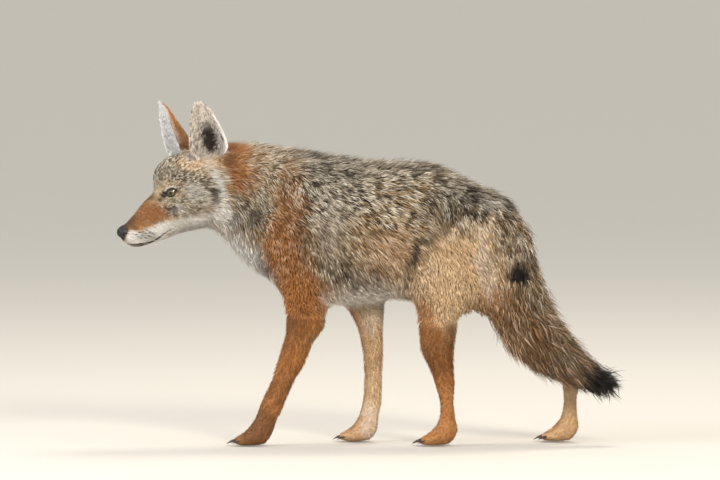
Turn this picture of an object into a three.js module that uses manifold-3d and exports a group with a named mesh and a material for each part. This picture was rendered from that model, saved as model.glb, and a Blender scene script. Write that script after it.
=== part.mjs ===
// A golden wolf at life size, walking slowly with its head up and turned a little to its left.
// Millimetres. It faces -X, its left side is -Y and +Z is up. The floor is Z = 0.
// The body is one blended field of muscles, which is skinned and parted by thin cuts.
import * as THREE from "three";
import { ConvexGeometry } from "three/addons/geometries/ConvexGeometry.js";
import { mergeVertices } from "three/addons/utils/BufferGeometryUtils.js";
import Module from "manifold-3d";

const wasm = await Module();
wasm.setup();

// ---------- Driving dimensions ----------
const GAP = 0.3; // clearance between neighbouring parts
const FAR = 2000; // larger than the animal, for half-space cuts
const HEAD_YAW = THREE.MathUtils.degToRad(18); // the head is turned towards the animal's left
const HEAD_PIVOT = new THREE.Vector3(-228, -7, 0); // upright axis through the nape that the head turns about
const SOFTNESS = { head: 14, face: 9, torso: 42, limb: 12, root: 26, toe: 5 }; // fillets between muscles
const EYE_RADIUS = 10.2;
const EYE_AT = [-72.5, 23.8, 381.5]; // in the head's frame, right eye; the left one mirrors it
const EAR = { breadth: 64, wall: 4.6, rows: 7, columns: 6 };
const TOE_SPREAD = [-1.45, -0.5, 0.5, 1.45]; // places of the four toes across a paw
const CLAW = { length: 14, radius: 3, droop: 5 };
const CLEFT_WIDTH = 1.8; // between two toes
const COLOURS = {
  head: 0x9a7a58,
  jaw: 0xe6ded0,
  ear: 0xa8683c,
  neck: 0xa88a66,
  chest: 0x9a8468,
  belly: 0x8f7d68,
  rump: 0xa68c6a,
  leg: 0xb07a48,
  tail: 0x7a5a3c,
  tailTip: 0x2a221c,
  nose: 0x1e1a18,
  eye: 0xc8b45a,
  claw: 0x2c2620,
};
// Where the ears stand, in the head's frame: the left one is turned out, the right one listens ahead.
const ears = {
  ear_left: { base: [-28, -49, 426], tip: [-41, -56, 518], opens: [-0.53, -0.83, 0.1], outward: 1 },
  ear_right: { base: [-52, 34, 429], tip: [-73, 50, 516], opens: [-1, -0.02, 0.15], outward: -1 },
};
// Half the breadth of an ear and how far it leans outwards, from its root to its tip, as parts of its breadth.
const EAR_HALF_BREADTH = [0.27, 0.5, 0.49, 0.46, 0.4, 0.345, 0.28, 0.09];
const EAR_SHIFT = [0.06, 0.065, 0.07, 0.065, 0.045, 0.02, -0.01, -0.02];
const PLUG_SIDES = 12; // of the round plug that a leg is parted from the trunk by
const CORE = 14; // half the thickness of the trunk that stays between the left and right limbs

// ---------- Fields: negative inside, in millimetres ----------
// A muscle is a rounded cone from a to b. Breadth is its width across the body over its height.
function muscle(a, b, ra, rb, breadth = 1) {
  const ax = a[0], ay = a[1] / breadth, az = a[2];
  const bx = b[0] - ax, by = b[1] / breadth - ay, bz = b[2] - az;
  const length2 = bx * bx + by * by + bz * bz;
  const taper = ra - rb;
  const slope2 = length2 - taper * taper;
  const inverse = 1 / length2;
  return (x, y, z) => {
    const px = x - ax, py = y / breadth - ay, pz = z - az;
    const along = px * bx + py * by + pz * bz;
    const past = along - length2;
    const qx = px * length2 - bx * along, qy = py * length2 - by * along, qz = pz * length2 - bz * along;
    const side2 = qx * qx + qy * qy + qz * qz;
    const k = Math.sign(taper) * taper * taper * side2;
    if (Math.sign(past) * slope2 * past * past * length2 > k) {
      return Math.sqrt(side2 + past * past * length2) * inverse - rb;
    }
    if (Math.sign(along) * slope2 * along * along * length2 < k) {
      return Math.sqrt(side2 + along * along * length2) * inverse - ra;
    }
    return (Math.sqrt(side2 * slope2 * inverse) + along * taper) * inverse - ra;
  };
}

// A lump is an ellipsoid.
function lump(centre, radii) {
  const [cx, cy, cz] = centre;
  const [rx, ry, rz] = radii;
  return (x, y, z) => {
    const px = (x - cx) / rx, py = (y - cy) / ry, pz = (z - cz) / rz;
    const outer = Math.hypot(px, py, pz);
    const steep = Math.hypot(px / rx, py / ry, pz / rz);
    return steep < 1e-9 ? -Math.min(rx, ry, rz) : (outer * (outer - 1)) / steep;
  };
}

// Runs several fields together, with a fillet of about k.
function blend(k, fields) {
  return (x, y, z) => {
    let d = fields[0](x, y, z);
    for (let i = 1; i < fields.length; i++) {
      const e = fields[i](x, y, z);
      const h = Math.max(k - Math.abs(d - e), 0) / k;
      d = Math.min(d, e) - (h * h * k) / 4;
    }
    return d;
  };
}

const chain = (points, breadth) =>
  points.slice(1).map((b, i) => muscle(points[i].at, b.at, points[i].r, b.r, breadth));
const both = (make) => [make(1), make(-1)]; // a piece on each side of the head

// ---------- Head, in its own frame: X along the head, Y across it, Z up ----------
const skullFields = blend(SOFTNESS.head, [
  lump([-36, 0, 405], [46, 37, 38]), // brain case
  lump([-66, 0, 399], [31, 29, 33]), // forehead
  muscle([-86, 0, 352], [-133, 0, 318], 23.5, 13, 0.92), // muzzle
  muscle([-99, 0, 361], [-137, 0, 324], 9, 7), // bridge of the nose
  muscle([-18, 0, 372], [12, 0, 382], 46, 55, 0.95), // back of the head into the nape
  ...both((s) => muscle([-77, 16 * s, 393], [-58, 27 * s, 399], 10, 11)), // brow
  ...both((s) => muscle([-88, 12 * s, 352], [-52, 34 * s, 366], 17, 21)), // cheek bone
  ...both((s) => lump([-35, 37 * s, 362], [33, 19, 32])), // jaw muscle
  ...both((s) => muscle([-46, 30 * s, 350], [-4, 43 * s, 372], 17, 22)), // cheek fringe
  ...both((s) => muscle([-130, 6.5 * s, 313], [-100, 13 * s, 322], 10, 13)), // upper lip
  ...Object.values(ears).map(({ base: [x, y, z], opens }) => {
    const [cx, cy] = [x - 17 * opens[0], y - 17 * opens[1]]; // the middle of the cup
    return muscle([cx, cy * 0.62, z - 46], [cx, cy * 0.92, z - 20], 30, 25);
  }),
]);
const jawFields = blend(SOFTNESS.face, [
  muscle([-127, 0, 308], [-78, 0, 324], 7.5, 13), // chin and lower jaw
  muscle([-78, 0, 324], [-22, 0, 350], 13, 25), // throat
  ...both((s) => muscle([-122, 5 * s, 308], [-72, 16 * s, 326], 6.5, 10)), // sides of the lower jaw
  ...both((s) => muscle([-98, 13 * s, 331], [-58, 25 * s, 347], 13, 20)), // corner of the mouth
]);
const headLocal = blend(SOFTNESS.face, [skullFields, jawFields]);
// A list of values read along 0 to 1.
function profile(values, t) {
  const at = THREE.MathUtils.clamp(t, 0, 1) * (values.length - 1);
  const i = Math.min(Math.floor(at), values.length - 2);
  return THREE.MathUtils.lerp(values[i], values[i + 1], at - i);
}

const cosYaw = Math.cos(HEAD_YAW), sinYaw = Math.sin(HEAD_YAW);
// The head's frame seen from the body's: the left side, -Y, swings back and the nose swings to the left.
const toHead = ([x, y, z]) => {
  const dx = x - HEAD_PIVOT.x, dy = y - HEAD_PIVOT.y;
  return [dx * cosYaw + dy * sinYaw, -dx * sinYaw + dy * cosYaw, z];
};
const headField = (x, y, z) => headLocal(...toHead([x, y, z]));
const fromHead = ([x, y, z]) => [
  HEAD_PIVOT.x + x * cosYaw - y * sinYaw,
  HEAD_PIVOT.y + x * sinYaw + y * cosYaw,
  z,
];

// ---------- Neck and trunk ----------
const torsoField = blend(SOFTNESS.torso, [
  muscle([-213, -6, 388], [-123, 0, 350], 57, 86, 0.84), // neck
  muscle([-196, -5, 408], [-110, 0, 382], 40, 44, 0.9), // mane
  muscle([-100, 0, 338], [-33, 0, 325], 90, 97, 0.76), // rib cage
  muscle([-33, 0, 325], [72, 0, 331], 97, 88, 0.72), // belly
  muscle([72, 0, 331], [156, 0, 312], 88, 78, 0.76), // loin and rump
  muscle([-150, 0, 313], [-62, 0, 286], 37, 50, 0.9), // breast
  muscle([-40, 0, 296], [46, 0, 297], 72, 70, 0.84), // underside
]);

// ---------- Legs and tail ----------
// Each joint has its place and the leg's radius there, coat included.
const legs = {
  front_left: {
    reach: [-216, -34],
    root: [
      [[-104, -34, 386], [-126, -42, 318], 28, 38, 0.95],
      [[-126, -42, 318], [-91, -49, 204], 38, 28, 0.95],
    ],
    limb: [
      { at: [-91, -49, 204], r: 28 },
      { at: [-92, -49, 186], r: 26 },
      { at: [-111, -48, 134], r: 20.5 },
      { at: [-139, -46, 68], r: 17.5 },
      { at: [-157, -45, 26], r: 15 },
    ],
    point: muscle([-80, -49, 190], [-69, -49, 185], 16, 8),
    paw: { at: [-170, -45], turn: 4 },
    splits: [{ at: [-92, 0, 200], along: [0.1, 0, 1] }, { at: [-141, 0, 62], along: [0.35, 0, 1] }],
    front: true,
  },
  front_right: {
    reach: [-172, 52],
    root: [
      [[-96, 34, 386], [-112, 42, 318], 28, 38, 0.95],
      [[-112, 42, 318], [-8, 48, 222], 38, 27, 0.95],
    ],
    limb: [
      { at: [-8, 48, 222], r: 27 },
      { at: [1, 48, 200], r: 24 },
      { at: [9, 47, 150], r: 18 },
      { at: [11, 46, 72], r: 15.5 },
      { at: [0, 45, 26], r: 14.5 },
    ],
    point: muscle([2, 48, 212], [16, 48, 216], 15, 8),
    paw: { at: [-12, 45], turn: -4 },
    splits: [{ at: [0, 0, 208], along: [-0.2, 0, 1] }, { at: [10, 0, 64], along: [0.1, 0, 1] }],
    front: true,
  },
  hind_left: {
    reach: [44, 226],
    root: [
      [[152, -34, 318], [106, -46, 240], 56, 42, 0.78],
      [[150, -38, 290], [146, -44, 226], 36, 24, 0.9],
      [[106, -46, 240], [106, -48, 186], 42, 30, 0.86],
    ],
    limb: [
      { at: [106, -48, 186], r: 29 },
      { at: [105, -48, 148], r: 25 },
      { at: [113, -47, 108], r: 16 },
      { at: [119, -46, 84], r: 13 },
      { at: [121, -45, 26], r: 13.5 },
    ],
    point: muscle([116, -47, 112], [126, -47, 118], 11, 6.5),
    paw: { at: [107, -45], turn: 3 },
    splits: [{ at: [106, 0, 190], along: [0, 0, 1] }, { at: [114, 0, 98], along: [-0.1, 0, 1] }],
    front: false,
  },
  hind_right: {
    reach: [84, 352],
    root: [
      [[158, 34, 316], [186, 45, 232], 54, 40, 0.78],
      [[176, 38, 290], [196, 43, 236], 36, 28, 0.9],
      [[186, 45, 232], [222, 47, 192], 40, 29, 0.86],
    ],
    limb: [
      { at: [222, 47, 192], r: 29 },
      { at: [262, 47, 158], r: 21 },
      { at: [302, 46, 116], r: 14 },
      { at: [307, 46, 90], r: 12.5 },
      { at: [305, 45, 26], r: 13 },
    ],
    point: muscle([306, 46, 117], [316, 46, 124], 10, 6.5),
    paw: { at: [291, 45], turn: -3 },
    splits: [{ at: [214, 0, 199], along: [-0.75, 0, 0.65] }, { at: [304, 0, 104], along: [-0.1, 0, 1] }],
    front: false,
  },
};

const tailPoints = [
  { at: [194, 0, 342], r: 31 },
  { at: [214, -3, 298], r: 35 },
  { at: [218, -7, 250], r: 42 },
  { at: [226, -11, 212], r: 46 },
  { at: [246, -14, 172], r: 45 },
  { at: [279, -17, 139], r: 38 },
  { at: [320, -19, 112], r: 28 },
  { at: [350, -20, 97], r: 18 },
  { at: [368, -20, 89], r: 8 },
];
const tailField = blend(SOFTNESS.limb, chain(tailPoints, 0.9));

// A paw points along -X, turned by its angle: four toes, the ball behind them and the pad under it.
function pawFields({ at, turn }, heel) {
  const angle = THREE.MathUtils.degToRad(turn);
  const place = (x, y, z) => [
    at[0] + x * Math.cos(angle) - y * Math.sin(angle),
    at[1] + x * Math.sin(angle) + y * Math.cos(angle),
    z,
  ];
  const toes = TOE_SPREAD.map((t) => {
    const reach = Math.abs(t) > 1 ? -14 : -21; // the middle toes reach further
    return blend(SOFTNESS.toe, [
      muscle(place(6, t * 7, 15), place(reach, t * 8.6, 9.5), 8.5, 7.6),
      muscle(place(reach + 3, t * 8.6, 7.4), place(reach - 5, t * 9, 7), 8.2, 6.2),
    ]);
  });
  const ball = muscle(place(12, 0, 22), place(-4, 0, 15), 15.5, 13, 1.12);
  const pad = lump(place(8, 0, 8.5), [14, 14, 10]);
  const shank = muscle(heel.at, place(9, 0, 19), heel.r, 14.5);
  const claws = TOE_SPREAD.map((t) => ({
    at: place((Math.abs(t) > 1 ? -14 : -21) - 12.5, t * 9, 8.8),
    turn: angle,
  }));
  const clefts = [-1, 0, 1].map((t) => ({
    at: place(t === 0 ? -24 : -20, t * 8.8, 14),
    turn: angle - t * 0.12,
  }));
  return { field: blend(SOFTNESS.toe, [...toes, ball, pad, shank]), claws, clefts };
}

for (const leg of Object.values(legs)) {
  const heel = leg.limb.at(-1);
  const paw = pawFields(leg.paw, heel);
  leg.claws = paw.claws;
  leg.clefts = paw.clefts;
  leg.field = blend(SOFTNESS.limb, [
    ...leg.root.map((m) => muscle(...m)),
    ...chain(leg.limb, 0.92),
    leg.point,
    paw.field,
  ]);
}

// ---------- The whole animal: every limb runs into the trunk, and none into another limb ----------
const trunk = blend(SOFTNESS.root, [torsoField, headField]);
function wolfField(x, y, z) {
  const t = trunk(x, y, z);
  let d = t;
  for (const limb of [tailField, ...Object.values(legs).map((leg) => leg.field)]) {
    const e = limb(x, y, z);
    const h = Math.max(SOFTNESS.root - Math.abs(t - e), 0) / SOFTNESS.root;
    d = Math.min(d, Math.min(t, e) - (h * h * SOFTNESS.root) / 4);
  }
  return d;
}

// ---------- Skinning a field ----------
const gradient = (field, p, step = 0.5) => {
  const [x, y, z] = p;
  return [
    (field(x + step, y, z) - field(x - step, y, z)) / (2 * step),
    (field(x, y + step, z) - field(x, y - step, z)) / (2 * step),
    (field(x, y, z + step) - field(x, y, z - step)) / (2 * step),
  ];
};

// Moves a point onto the surface, by at most one cell.
function settle(field, p, reach) {
  let q = [...p];
  for (let i = 0; i < 4; i++) {
    const d = field(...q);
    const g = gradient(field, q);
    const g2 = g[0] ** 2 + g[1] ** 2 + g[2] ** 2;
    if (g2 < 1e-6) return p;
    q = q.map((v, k) => v - (d * g[k]) / g2);
  }
  return Math.hypot(q[0] - p[0], q[1] - p[1], q[2] - p[2]) < reach ? q : p;
}

// The grid cell's corners, edges and faces, with each corner as a number from 0 to 7.
const CORNERS = Array.from({ length: 8 }, (_, c) => [c & 1, (c >> 1) & 1, c >> 2]);
const EDGES = CORNERS.flatMap((_, a) => [1, 2, 4].filter((b) => !(a & b)).map((b) => [a, a | b]));
const FACES = [1, 2, 4].flatMap((m) => {
  const [u, w] = [1, 2, 4].filter((v) => v !== m);
  return [0, m].map((c) => [c, c | u, c | u | w, c | w]);
});
const edgeBetween = (a, b) => EDGES.findIndex(([p, q]) => (p === a && q === b) || (p === b && q === a));
const FACE_EDGES = FACES.map((face) => face.map((c, m) => edgeBetween(c, face[(m + 1) % 4])));

// Numbers the sheets of surface that pass through a cell: each crossed edge gets its sheet.
function sheetsOf(inside) {
  const sheet = EDGES.map((_, e) => e);
  const join = (a, b) => {
    const [from, to] = [sheet[a], sheet[b]];
    for (const e of EDGES.keys()) if (sheet[e] === from) sheet[e] = to;
  };
  FACES.forEach((face, f) => {
    const crossed = FACE_EDGES[f].filter((e) => inside[EDGES[e][0]] !== inside[EDGES[e][1]]);
    if (crossed.length === 2) join(...crossed);
    if (crossed.length === 4) {
      face.forEach((c, m) => inside[c] && join(FACE_EDGES[f][m], FACE_EDGES[f][(m + 3) % 4]));
    }
  });
  return sheet;
}

// Rules off a length in steps, with other steps inside its zones of [from, to, step].
function ruled(from, to, step, ...zones) {
  const marks = [from];
  while (marks.at(-1) < to) {
    const here = marks.at(-1);
    marks.push(here + (zones.find(([a, b]) => here >= a && here < b)?.[2] ?? step));
  }
  return marks;
}

// Skins a field on a ruled grid: a vertex for each sheet in a cell, a quad for each crossed grid edge.
function skinned(field, xs, ys, zs) {
  const n = [xs.length, ys.length, zs.length];
  const reach = Math.max(...[xs, ys, zs].flatMap((marks) => marks.slice(1).map((v, i) => v - marks[i])));
  const index = (i, j, k) => (k * n[1] + j) * n[0] + i;
  const place = (i, j, k) => [xs[i], ys[j], zs[k]];
  const onRim = (...g) => g.some((v, k) => v === 0 || v === n[k] - 1);
  const value = new Float32Array(n[0] * n[1] * n[2]);
  const each = (from, visit) => {
    for (let k = from; k < n[2] - 1; k++)
      for (let j = from; j < n[1] - 1; j++) for (let i = from; i < n[0] - 1; i++) visit(i, j, k);
  };
  value.fill(reach / 4); // the rim of the box is outside, so the skin is closed there
  each(1, (i, j, k) => { value[index(i, j, k)] = field(...place(i, j, k)); });

  const points = [];
  const pointOf = new Map(); // from a grid edge in a cell to its vertex
  each(0, (i, j, k) => {
    const grid = CORNERS.map(([a, b, c]) => [i + a, j + b, k + c]);
    const v = grid.map((g) => value[index(...g)]);
    const inside = v.map((d) => d < 0);
    if (inside.every((s) => s === inside[0])) return;
    const sheet = sheetsOf(inside);
    const sums = new Map();
    EDGES.forEach(([a, b], e) => {
      if (inside[a] === inside[b]) return;
      const t = v[a] / (v[a] - v[b]);
      const [p, q] = [place(...grid[a]), place(...grid[b])];
      const sum = sums.get(sheet[e]) ?? { at: [0, 0, 0], count: 0, rim: false };
      sum.at = sum.at.map((s, m) => s + p[m] + (q[m] - p[m]) * t);
      sum.count++;
      sum.rim ||= onRim(...grid[a]) || onRim(...grid[b]);
      sums.set(sheet[e], sum);
    });
    for (const [name, sum] of sums) {
      const mean = sum.at.map((s) => s / sum.count);
      for (const e of EDGES.keys()) {
        if (sheet[e] === name) pointOf.set(index(i, j, k) * 12 + e, points.length);
      }
      points.push(sum.rim ? mean : settle(field, mean, reach));
    }
  });

  const faces = [];
  const span = (a, b) => Math.hypot(...points[a].map((v, m) => v - points[b][m]));
  const steps = [[1, 0, 0], [0, 1, 0], [0, 0, 1]];
  each(0, (i, j, k) =>
    steps.forEach((step, axis) => {
      const [u, w] = [steps[(axis + 1) % 3], steps[(axis + 2) % 3]];
      const inside = value[index(i, j, k)] < 0;
      if (inside === value[index(i + step[0], j + step[1], k + step[2])] < 0) return;
      const quad = [[0, 0], [1, 0], [1, 1], [0, 1]].map(([a, b]) => {
        const corner = a * (1 << ((axis + 1) % 3)) + b * (1 << ((axis + 2) % 3));
        const cellAt = index(i - a * u[0] - b * w[0], j - a * u[1] - b * w[1], k - a * u[2] - b * w[2]);
        return pointOf.get(cellAt * 12 + edgeBetween(corner, corner | (1 << axis)));
      });
      if (!inside) quad.reverse();
      const [a, b, c, d] = quad;
      if (span(a, c) < span(b, d)) faces.push(a, b, c, a, c, d);
      else faces.push(a, b, d, b, c, d);
    }),
  );
  return solidOf(points.flat(), faces);
}

function solidOf(positions, faces) {
  const [vertProperties, triVerts] = [new Float32Array(positions), new Uint32Array(faces)];
  return new wasm.Manifold(new wasm.Mesh({ numProp: 3, vertProperties, triVerts }));
}

// A three.js geometry as a solid.
function solidFrom(geometry) {
  const bare = geometry.clone();
  for (const name of Object.keys(bare.attributes)) if (name !== "position") bare.deleteAttribute(name);
  const merged = mergeVertices(bare, 1e-4);
  return solidOf(merged.attributes.position.array, merged.index.array);
}

// The half of space on the side that `along` points away from.
function behind(at, along, shift = 0) {
  const normal = new THREE.Vector3(...along).normalize();
  const box = new THREE.BoxGeometry(FAR, FAR, FAR);
  box.translate(0, 0, -FAR / 2 + shift);
  box.applyQuaternion(new THREE.Quaternion().setFromUnitVectors(new THREE.Vector3(0, 0, 1), normal));
  box.translate(...at);
  return solidFrom(box);
}
const keep = (solid, cut) => solid.intersect(behind(cut.at, cut.along, -GAP / 2));
const keepBeyond = (solid, cut) => solid.intersect(behind(cut.at, cut.along.map((v) => -v), -GAP / 2));

// ---------- Parting the body ----------
const largest = (solid) => solid.decompose().sort((a, b) => b.volume() - a.volume())[0];

// Moves every corner of a solid outwards by a small clearance.
function puffed(solid, by = GAP) {
  const mesh = solid.getMesh();
  const geometry = new THREE.BufferGeometry();
  const corners = new Float32Array(mesh.vertProperties.length / mesh.numProp * 3);
  for (let i = 0; i < corners.length / 3; i++) {
    for (let k = 0; k < 3; k++) corners[3 * i + k] = mesh.vertProperties[mesh.numProp * i + k];
  }
  geometry.setAttribute("position", new THREE.BufferAttribute(corners, 3));
  geometry.setIndex(new THREE.BufferAttribute(mesh.triVerts, 1));
  const whole = mergeVertices(geometry, 1e-4);
  whole.computeVertexNormals();
  const { position, normal } = whole.attributes;
  const moved = position.array.map((v, i) => v + normal.array[i] * by);
  return solidOf(moved, whole.index.array);
}

// The tail's own volume, a little larger than its muscles, that it is parted from the rump and legs with.
const tailCut = { at: [217, 0, 325], along: [-0.45, 0, 1] };
const tailGrid = [ruled(150, 400, 28), ruled(-90, 70, 24), ruled(30, 400, 34)];
const tailCutter = keep(skinned((x, y, z) => tailField(x, y, z) - 3, ...tailGrid), tailCut);

// A leg is parted from the trunk by a plug that runs straight in from its side, round as its muscles are.
function plug(side, ends) {
  const points = [];
  for (const { at, r } of ends) {
    for (let i = 0; i < PLUG_SIDES; i++) {
      const turn = (2 * Math.PI * i) / PLUG_SIDES;
      const [x, z] = [at[0] + r * Math.cos(turn), at[2] + r * Math.sin(turn)];
      points.push(new THREE.Vector3(x, side * CORE, z), new THREE.Vector3(x, side * 130, z));
    }
  }
  return solidFrom(new ConvexGeometry(points));
}
for (const leg of Object.values(legs)) {
  const [side, pawX] = [Math.sign(leg.paw.at[1]), leg.paw.at[0]];
  const wide = (joint) => ({ at: joint.at, r: joint.r + 16 });
  const limb = [...leg.limb.map(wide), { at: [pawX, 0, 15], r: 58 }];
  const plugs = [
    ...leg.root.map(([a, b, ra, rb]) => plug(side, [{ at: a, r: ra + 3 }, { at: b, r: rb + 3 }])),
    ...limb.slice(1).map((end, i) => plug(side, [limb[i], end])),
  ];
  leg.ys = side < 0 ? [-115, 10] : [-10, 115];
  leg.cutter = plugs.reduce((whole, next) => whole.add(next));
}
const floor = { at: [0, 0, GAP / 2], along: [0, 0, 1] };
const minus = (solid, others) => others.reduce((left, other) => left.subtract(puffed(other)), solid);
const skin = (...grid) => skinned(wolfField, ...grid);

const parts = new Map();
function part(name, solid, colour, roughness = 0.9) {
  parts.set(name, { solid: largest(solid), colour, roughness });
}

// ---------- Eyes, nose, ears, jaw and head ----------
const eyes = { eye_right: 1, eye_left: -1 };
for (const [name, side] of Object.entries(eyes)) {
  const ball = new THREE.SphereGeometry(EYE_RADIUS, 11, 7);
  ball.translate(...fromHead([EYE_AT[0], EYE_AT[1] * side, EYE_AT[2]]));
  part(name, solidFrom(ball), COLOURS.eye, 0.2);
}

const inHead = (field) => (x, y, z) => field(...toHead([x, y, z]));
const noseField = inHead(
  blend(3, [
    lump([-143.5, 0, 320.5], [10, 8.5, 12]),
    ...both((s) => lump([-142, 6 * s, 320], [9.5, 6.5, 8.5])),
  ]),
);
const noseAt = fromHead([-143, 0, 320]);
const nose = skinned(noseField, ...noseAt.map((v) => ruled(v - 24, v + 24, 5.2)));
part("nose", nose, COLOURS.nose, 0.45);

// An ear is a leaf rolled into a cup: rows from root to tip, columns round the cup.
function earSolid({ base, tip, opens, outward }) {
  const root = new THREE.Vector3(...fromHead(base));
  const up = new THREE.Vector3(...fromHead(tip)).sub(root);
  const length = up.length();
  up.normalize();
  const [ax, ay] = fromHead(opens), [bx, by] = fromHead([0, 0, 0]);
  const front = new THREE.Vector3(ax - bx, ay - by, opens[2]);
  front.addScaledVector(up, -front.dot(up)).normalize();
  const across = new THREE.Vector3().crossVectors(up, front).multiplyScalar(outward);
  const points = [];
  for (const layer of [0, EAR.wall]) {
    for (let i = 0; i <= EAR.rows; i++) {
      const t = -0.14 + (1.14 * i) / EAR.rows;
      const half = profile(EAR_HALF_BREADTH, t) * EAR.breadth;
      const shift = profile(EAR_SHIFT, t) * EAR.breadth;
      const open = THREE.MathUtils.degToRad(46 + 54 * (1 - Math.max(t, 0)) ** 0.6);
      const radius = half / Math.sin(Math.min(open, Math.PI / 2));
      const depth = radius * (1 - Math.cos(open));
      for (let j = 0; j <= EAR.columns; j++) {
        const turn = open * ((2 * j) / EAR.columns - 1);
        const reach = radius - layer;
        points.push(
          root.clone()
            .addScaledVector(up, t * length)
            .addScaledVector(across, shift + reach * Math.sin(turn))
            .addScaledVector(front, radius - reach * Math.cos(turn) - depth),
        );
      }
    }
  }
  const width = EAR.columns + 1, sheet = (EAR.rows + 1) * width;
  const faces = [];
  const quad = (a, b, c, d) => faces.push(a, b, c, a, c, d);
  for (let i = 0; i < EAR.rows; i++) {
    for (let j = 0; j < EAR.columns; j++) {
      const a = i * width + j;
      quad(a, a + 1, a + 1 + width, a + width);
      quad(a + sheet, a + sheet + width, a + sheet + width + 1, a + sheet + 1);
    }
    const [first, last] = [i * width, i * width + EAR.columns];
    quad(first, first + width, first + width + sheet, first + sheet);
    quad(last, last + sheet, last + sheet + width, last + width);
  }
  for (let j = 0; j < EAR.columns; j++) {
    const top = EAR.rows * width + j;
    quad(j, j + sheet, j + sheet + 1, j + 1);
    quad(top, top + 1, top + 1 + sheet, top + sheet);
  }
  if (outward > 0) faces.reverse(); // the left ear mirrors the right one
  return solidOf(points.flatMap((p) => p.toArray()), faces);
}

// The wedge of the lower jaw: the mouth line from the lips to their corner, then down behind the chin.
function jawWedge(shift) {
  const mouth = [[-170, 302], [-131, 303], [-103, 306.5], [-91, 313.5], [-74, 325.5]];
  const outline = [...mouth, [-67, 312], [-60, 270], [-170, 270]];
  const shape = new THREE.Shape(outline.map(([x, z]) => new THREE.Vector2(x - shift, z - shift)));
  const wedge = new THREE.ExtrudeGeometry(shape, { depth: 160, bevelEnabled: false });
  wedge.translate(0, 0, -80).rotateX(Math.PI / 2).rotateZ(HEAD_YAW);
  wedge.translate(HEAD_PIVOT.x, HEAD_PIVOT.y, 0);
  return solidFrom(wedge);
}

const headCut = { at: [-217.5, 0, 390], along: [0.92, 0, -0.38] };
const headWhole = keep(
  skin(ruled(-396, -150, 18, [-384, -280, 12]), ruled(-100, 80, 12), ruled(288, 480, 16, [364, 400, 11])),
  headCut,
);
const eyeballs = Object.keys(eyes).map((name) => parts.get(name).solid);
const face = minus(headWhole, [...eyeballs, nose]);
part("lower_jaw", face.intersect(jawWedge(GAP)), COLOURS.jaw);
part("head", face.subtract(jawWedge(0)), COLOURS.head);
for (const [name, ear] of Object.entries(ears)) {
  part(name, earSolid(ear).subtract(puffed(headWhole)), COLOURS.ear);
}

// ---------- Neck and trunk ----------
const neckCut = { at: [-153, 0, 360], along: [0.92, 0, -0.38] };
const chestCut = { at: [-22, 0, 300], along: [1, 0, 0] };
const bellyCut = { at: [87, 0, 300], along: [1, 0, 0] };
const limbs = [tailCutter, ...Object.values(legs).map((leg) => leg.cutter)];
const torso = skin(ruled(-280, 290, 43), ruled(-110, 110, 25), ruled(140, 480, 34));
const body = minus(torso, limbs);
const earRoots = minus(keepBeyond(body, headCut), Object.keys(ears).map((name) => parts.get(name).solid));
part("neck", keep(earRoots, neckCut), COLOURS.neck);
part("chest", keep(keepBeyond(body, neckCut), chestCut), COLOURS.chest);
part("belly", keep(keepBeyond(body, chestCut), bellyCut), COLOURS.belly);
part("rump", keepBeyond(body, bellyCut), COLOURS.rump);

// ---------- Tail ----------
const tailSplits = [{ at: [232, 0, 200], along: [-0.5, 0, 0.85] }, { at: [306, 0, 122], along: [-0.85, 0, 0.5] }];
const hairGrid = [ruled(150, 400, 30, [340, 400, 17]), ruled(-90, 60, 23), ruled(40, 380, 32, [40, 110, 19])];
const tail = skin(...hairGrid).intersect(tailCutter);
part("tail_root", keepBeyond(tail, tailSplits[0]), COLOURS.tail);
part("tail_middle", keepBeyond(keep(tail, tailSplits[0]), tailSplits[1]), COLOURS.tail);
part("tail_tip", keep(tail, tailSplits[1]), COLOURS.tailTip);

// ---------- Legs, feet and claws ----------
// A claw is a tapering arc, from inside the toe forwards and down.
function clawSolid({ at, turn }) {
  const claw = new THREE.ConeGeometry(CLAW.radius, CLAW.length, 5, 2);
  const { position } = claw.attributes;
  for (let i = 0; i < position.count; i++) {
    const along = position.getY(i) / CLAW.length + 0.5;
    position.setX(i, position.getX(i) * 0.75);
    position.setZ(i, position.getZ(i) - CLAW.droop * along * along);
  }
  claw.rotateZ(Math.PI / 2 + turn).translate(...at);
  return solidFrom(claw);
}

// The cleft between two toes is a thin upright slot.
function cleftSolid({ at, turn }) {
  const slot = new THREE.BoxGeometry(20, CLEFT_WIDTH, 34);
  return solidFrom(slot.rotateZ(turn).translate(...at));
}

for (const [name, leg] of Object.entries(legs)) {
  const claws = leg.claws.map(clawSolid);
  claws.forEach((claw, i) => part(`${name}_claw_${i + 1}`, claw, COLOURS.claw, 0.5));
  const cut = (solid) => minus(solid.intersect(leg.cutter), [tailCutter]);
  const [upper, lower] = leg.splits;
  const [pawX, kneeZ, ankleZ] = [leg.paw.at[0], upper.at[2], lower.at[2]];
  const grids = {
    lower: [ruled(...leg.reach, 17), ruled(...leg.ys, 14), ruled(ankleZ - 40, kneeZ + 60, 32)],
    foot: [
      ruled(...leg.reach, 16, [pawX - 60, pawX - 12, 11]),
      ruled(...leg.ys, 11),
      ruled(-20, ankleZ + 40, 26, [-20, 24, 9]),
    ],
  };
  const [shin, foot] = [grids.lower, grids.foot].map((grid) => cut(skin(...grid)));
  part(`${name}_upper`, keepBeyond(cut(torso), upper), COLOURS.leg);
  part(`${name}_lower`, keepBeyond(keep(shin, upper), lower), COLOURS.leg);
  const paw = leg.clefts.map(cleftSolid).reduce((left, slot) => left.subtract(slot), foot);
  part(`${name}_foot`, minus(keepBeyond(keep(paw, lower), floor), claws), COLOURS.leg);
}

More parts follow.
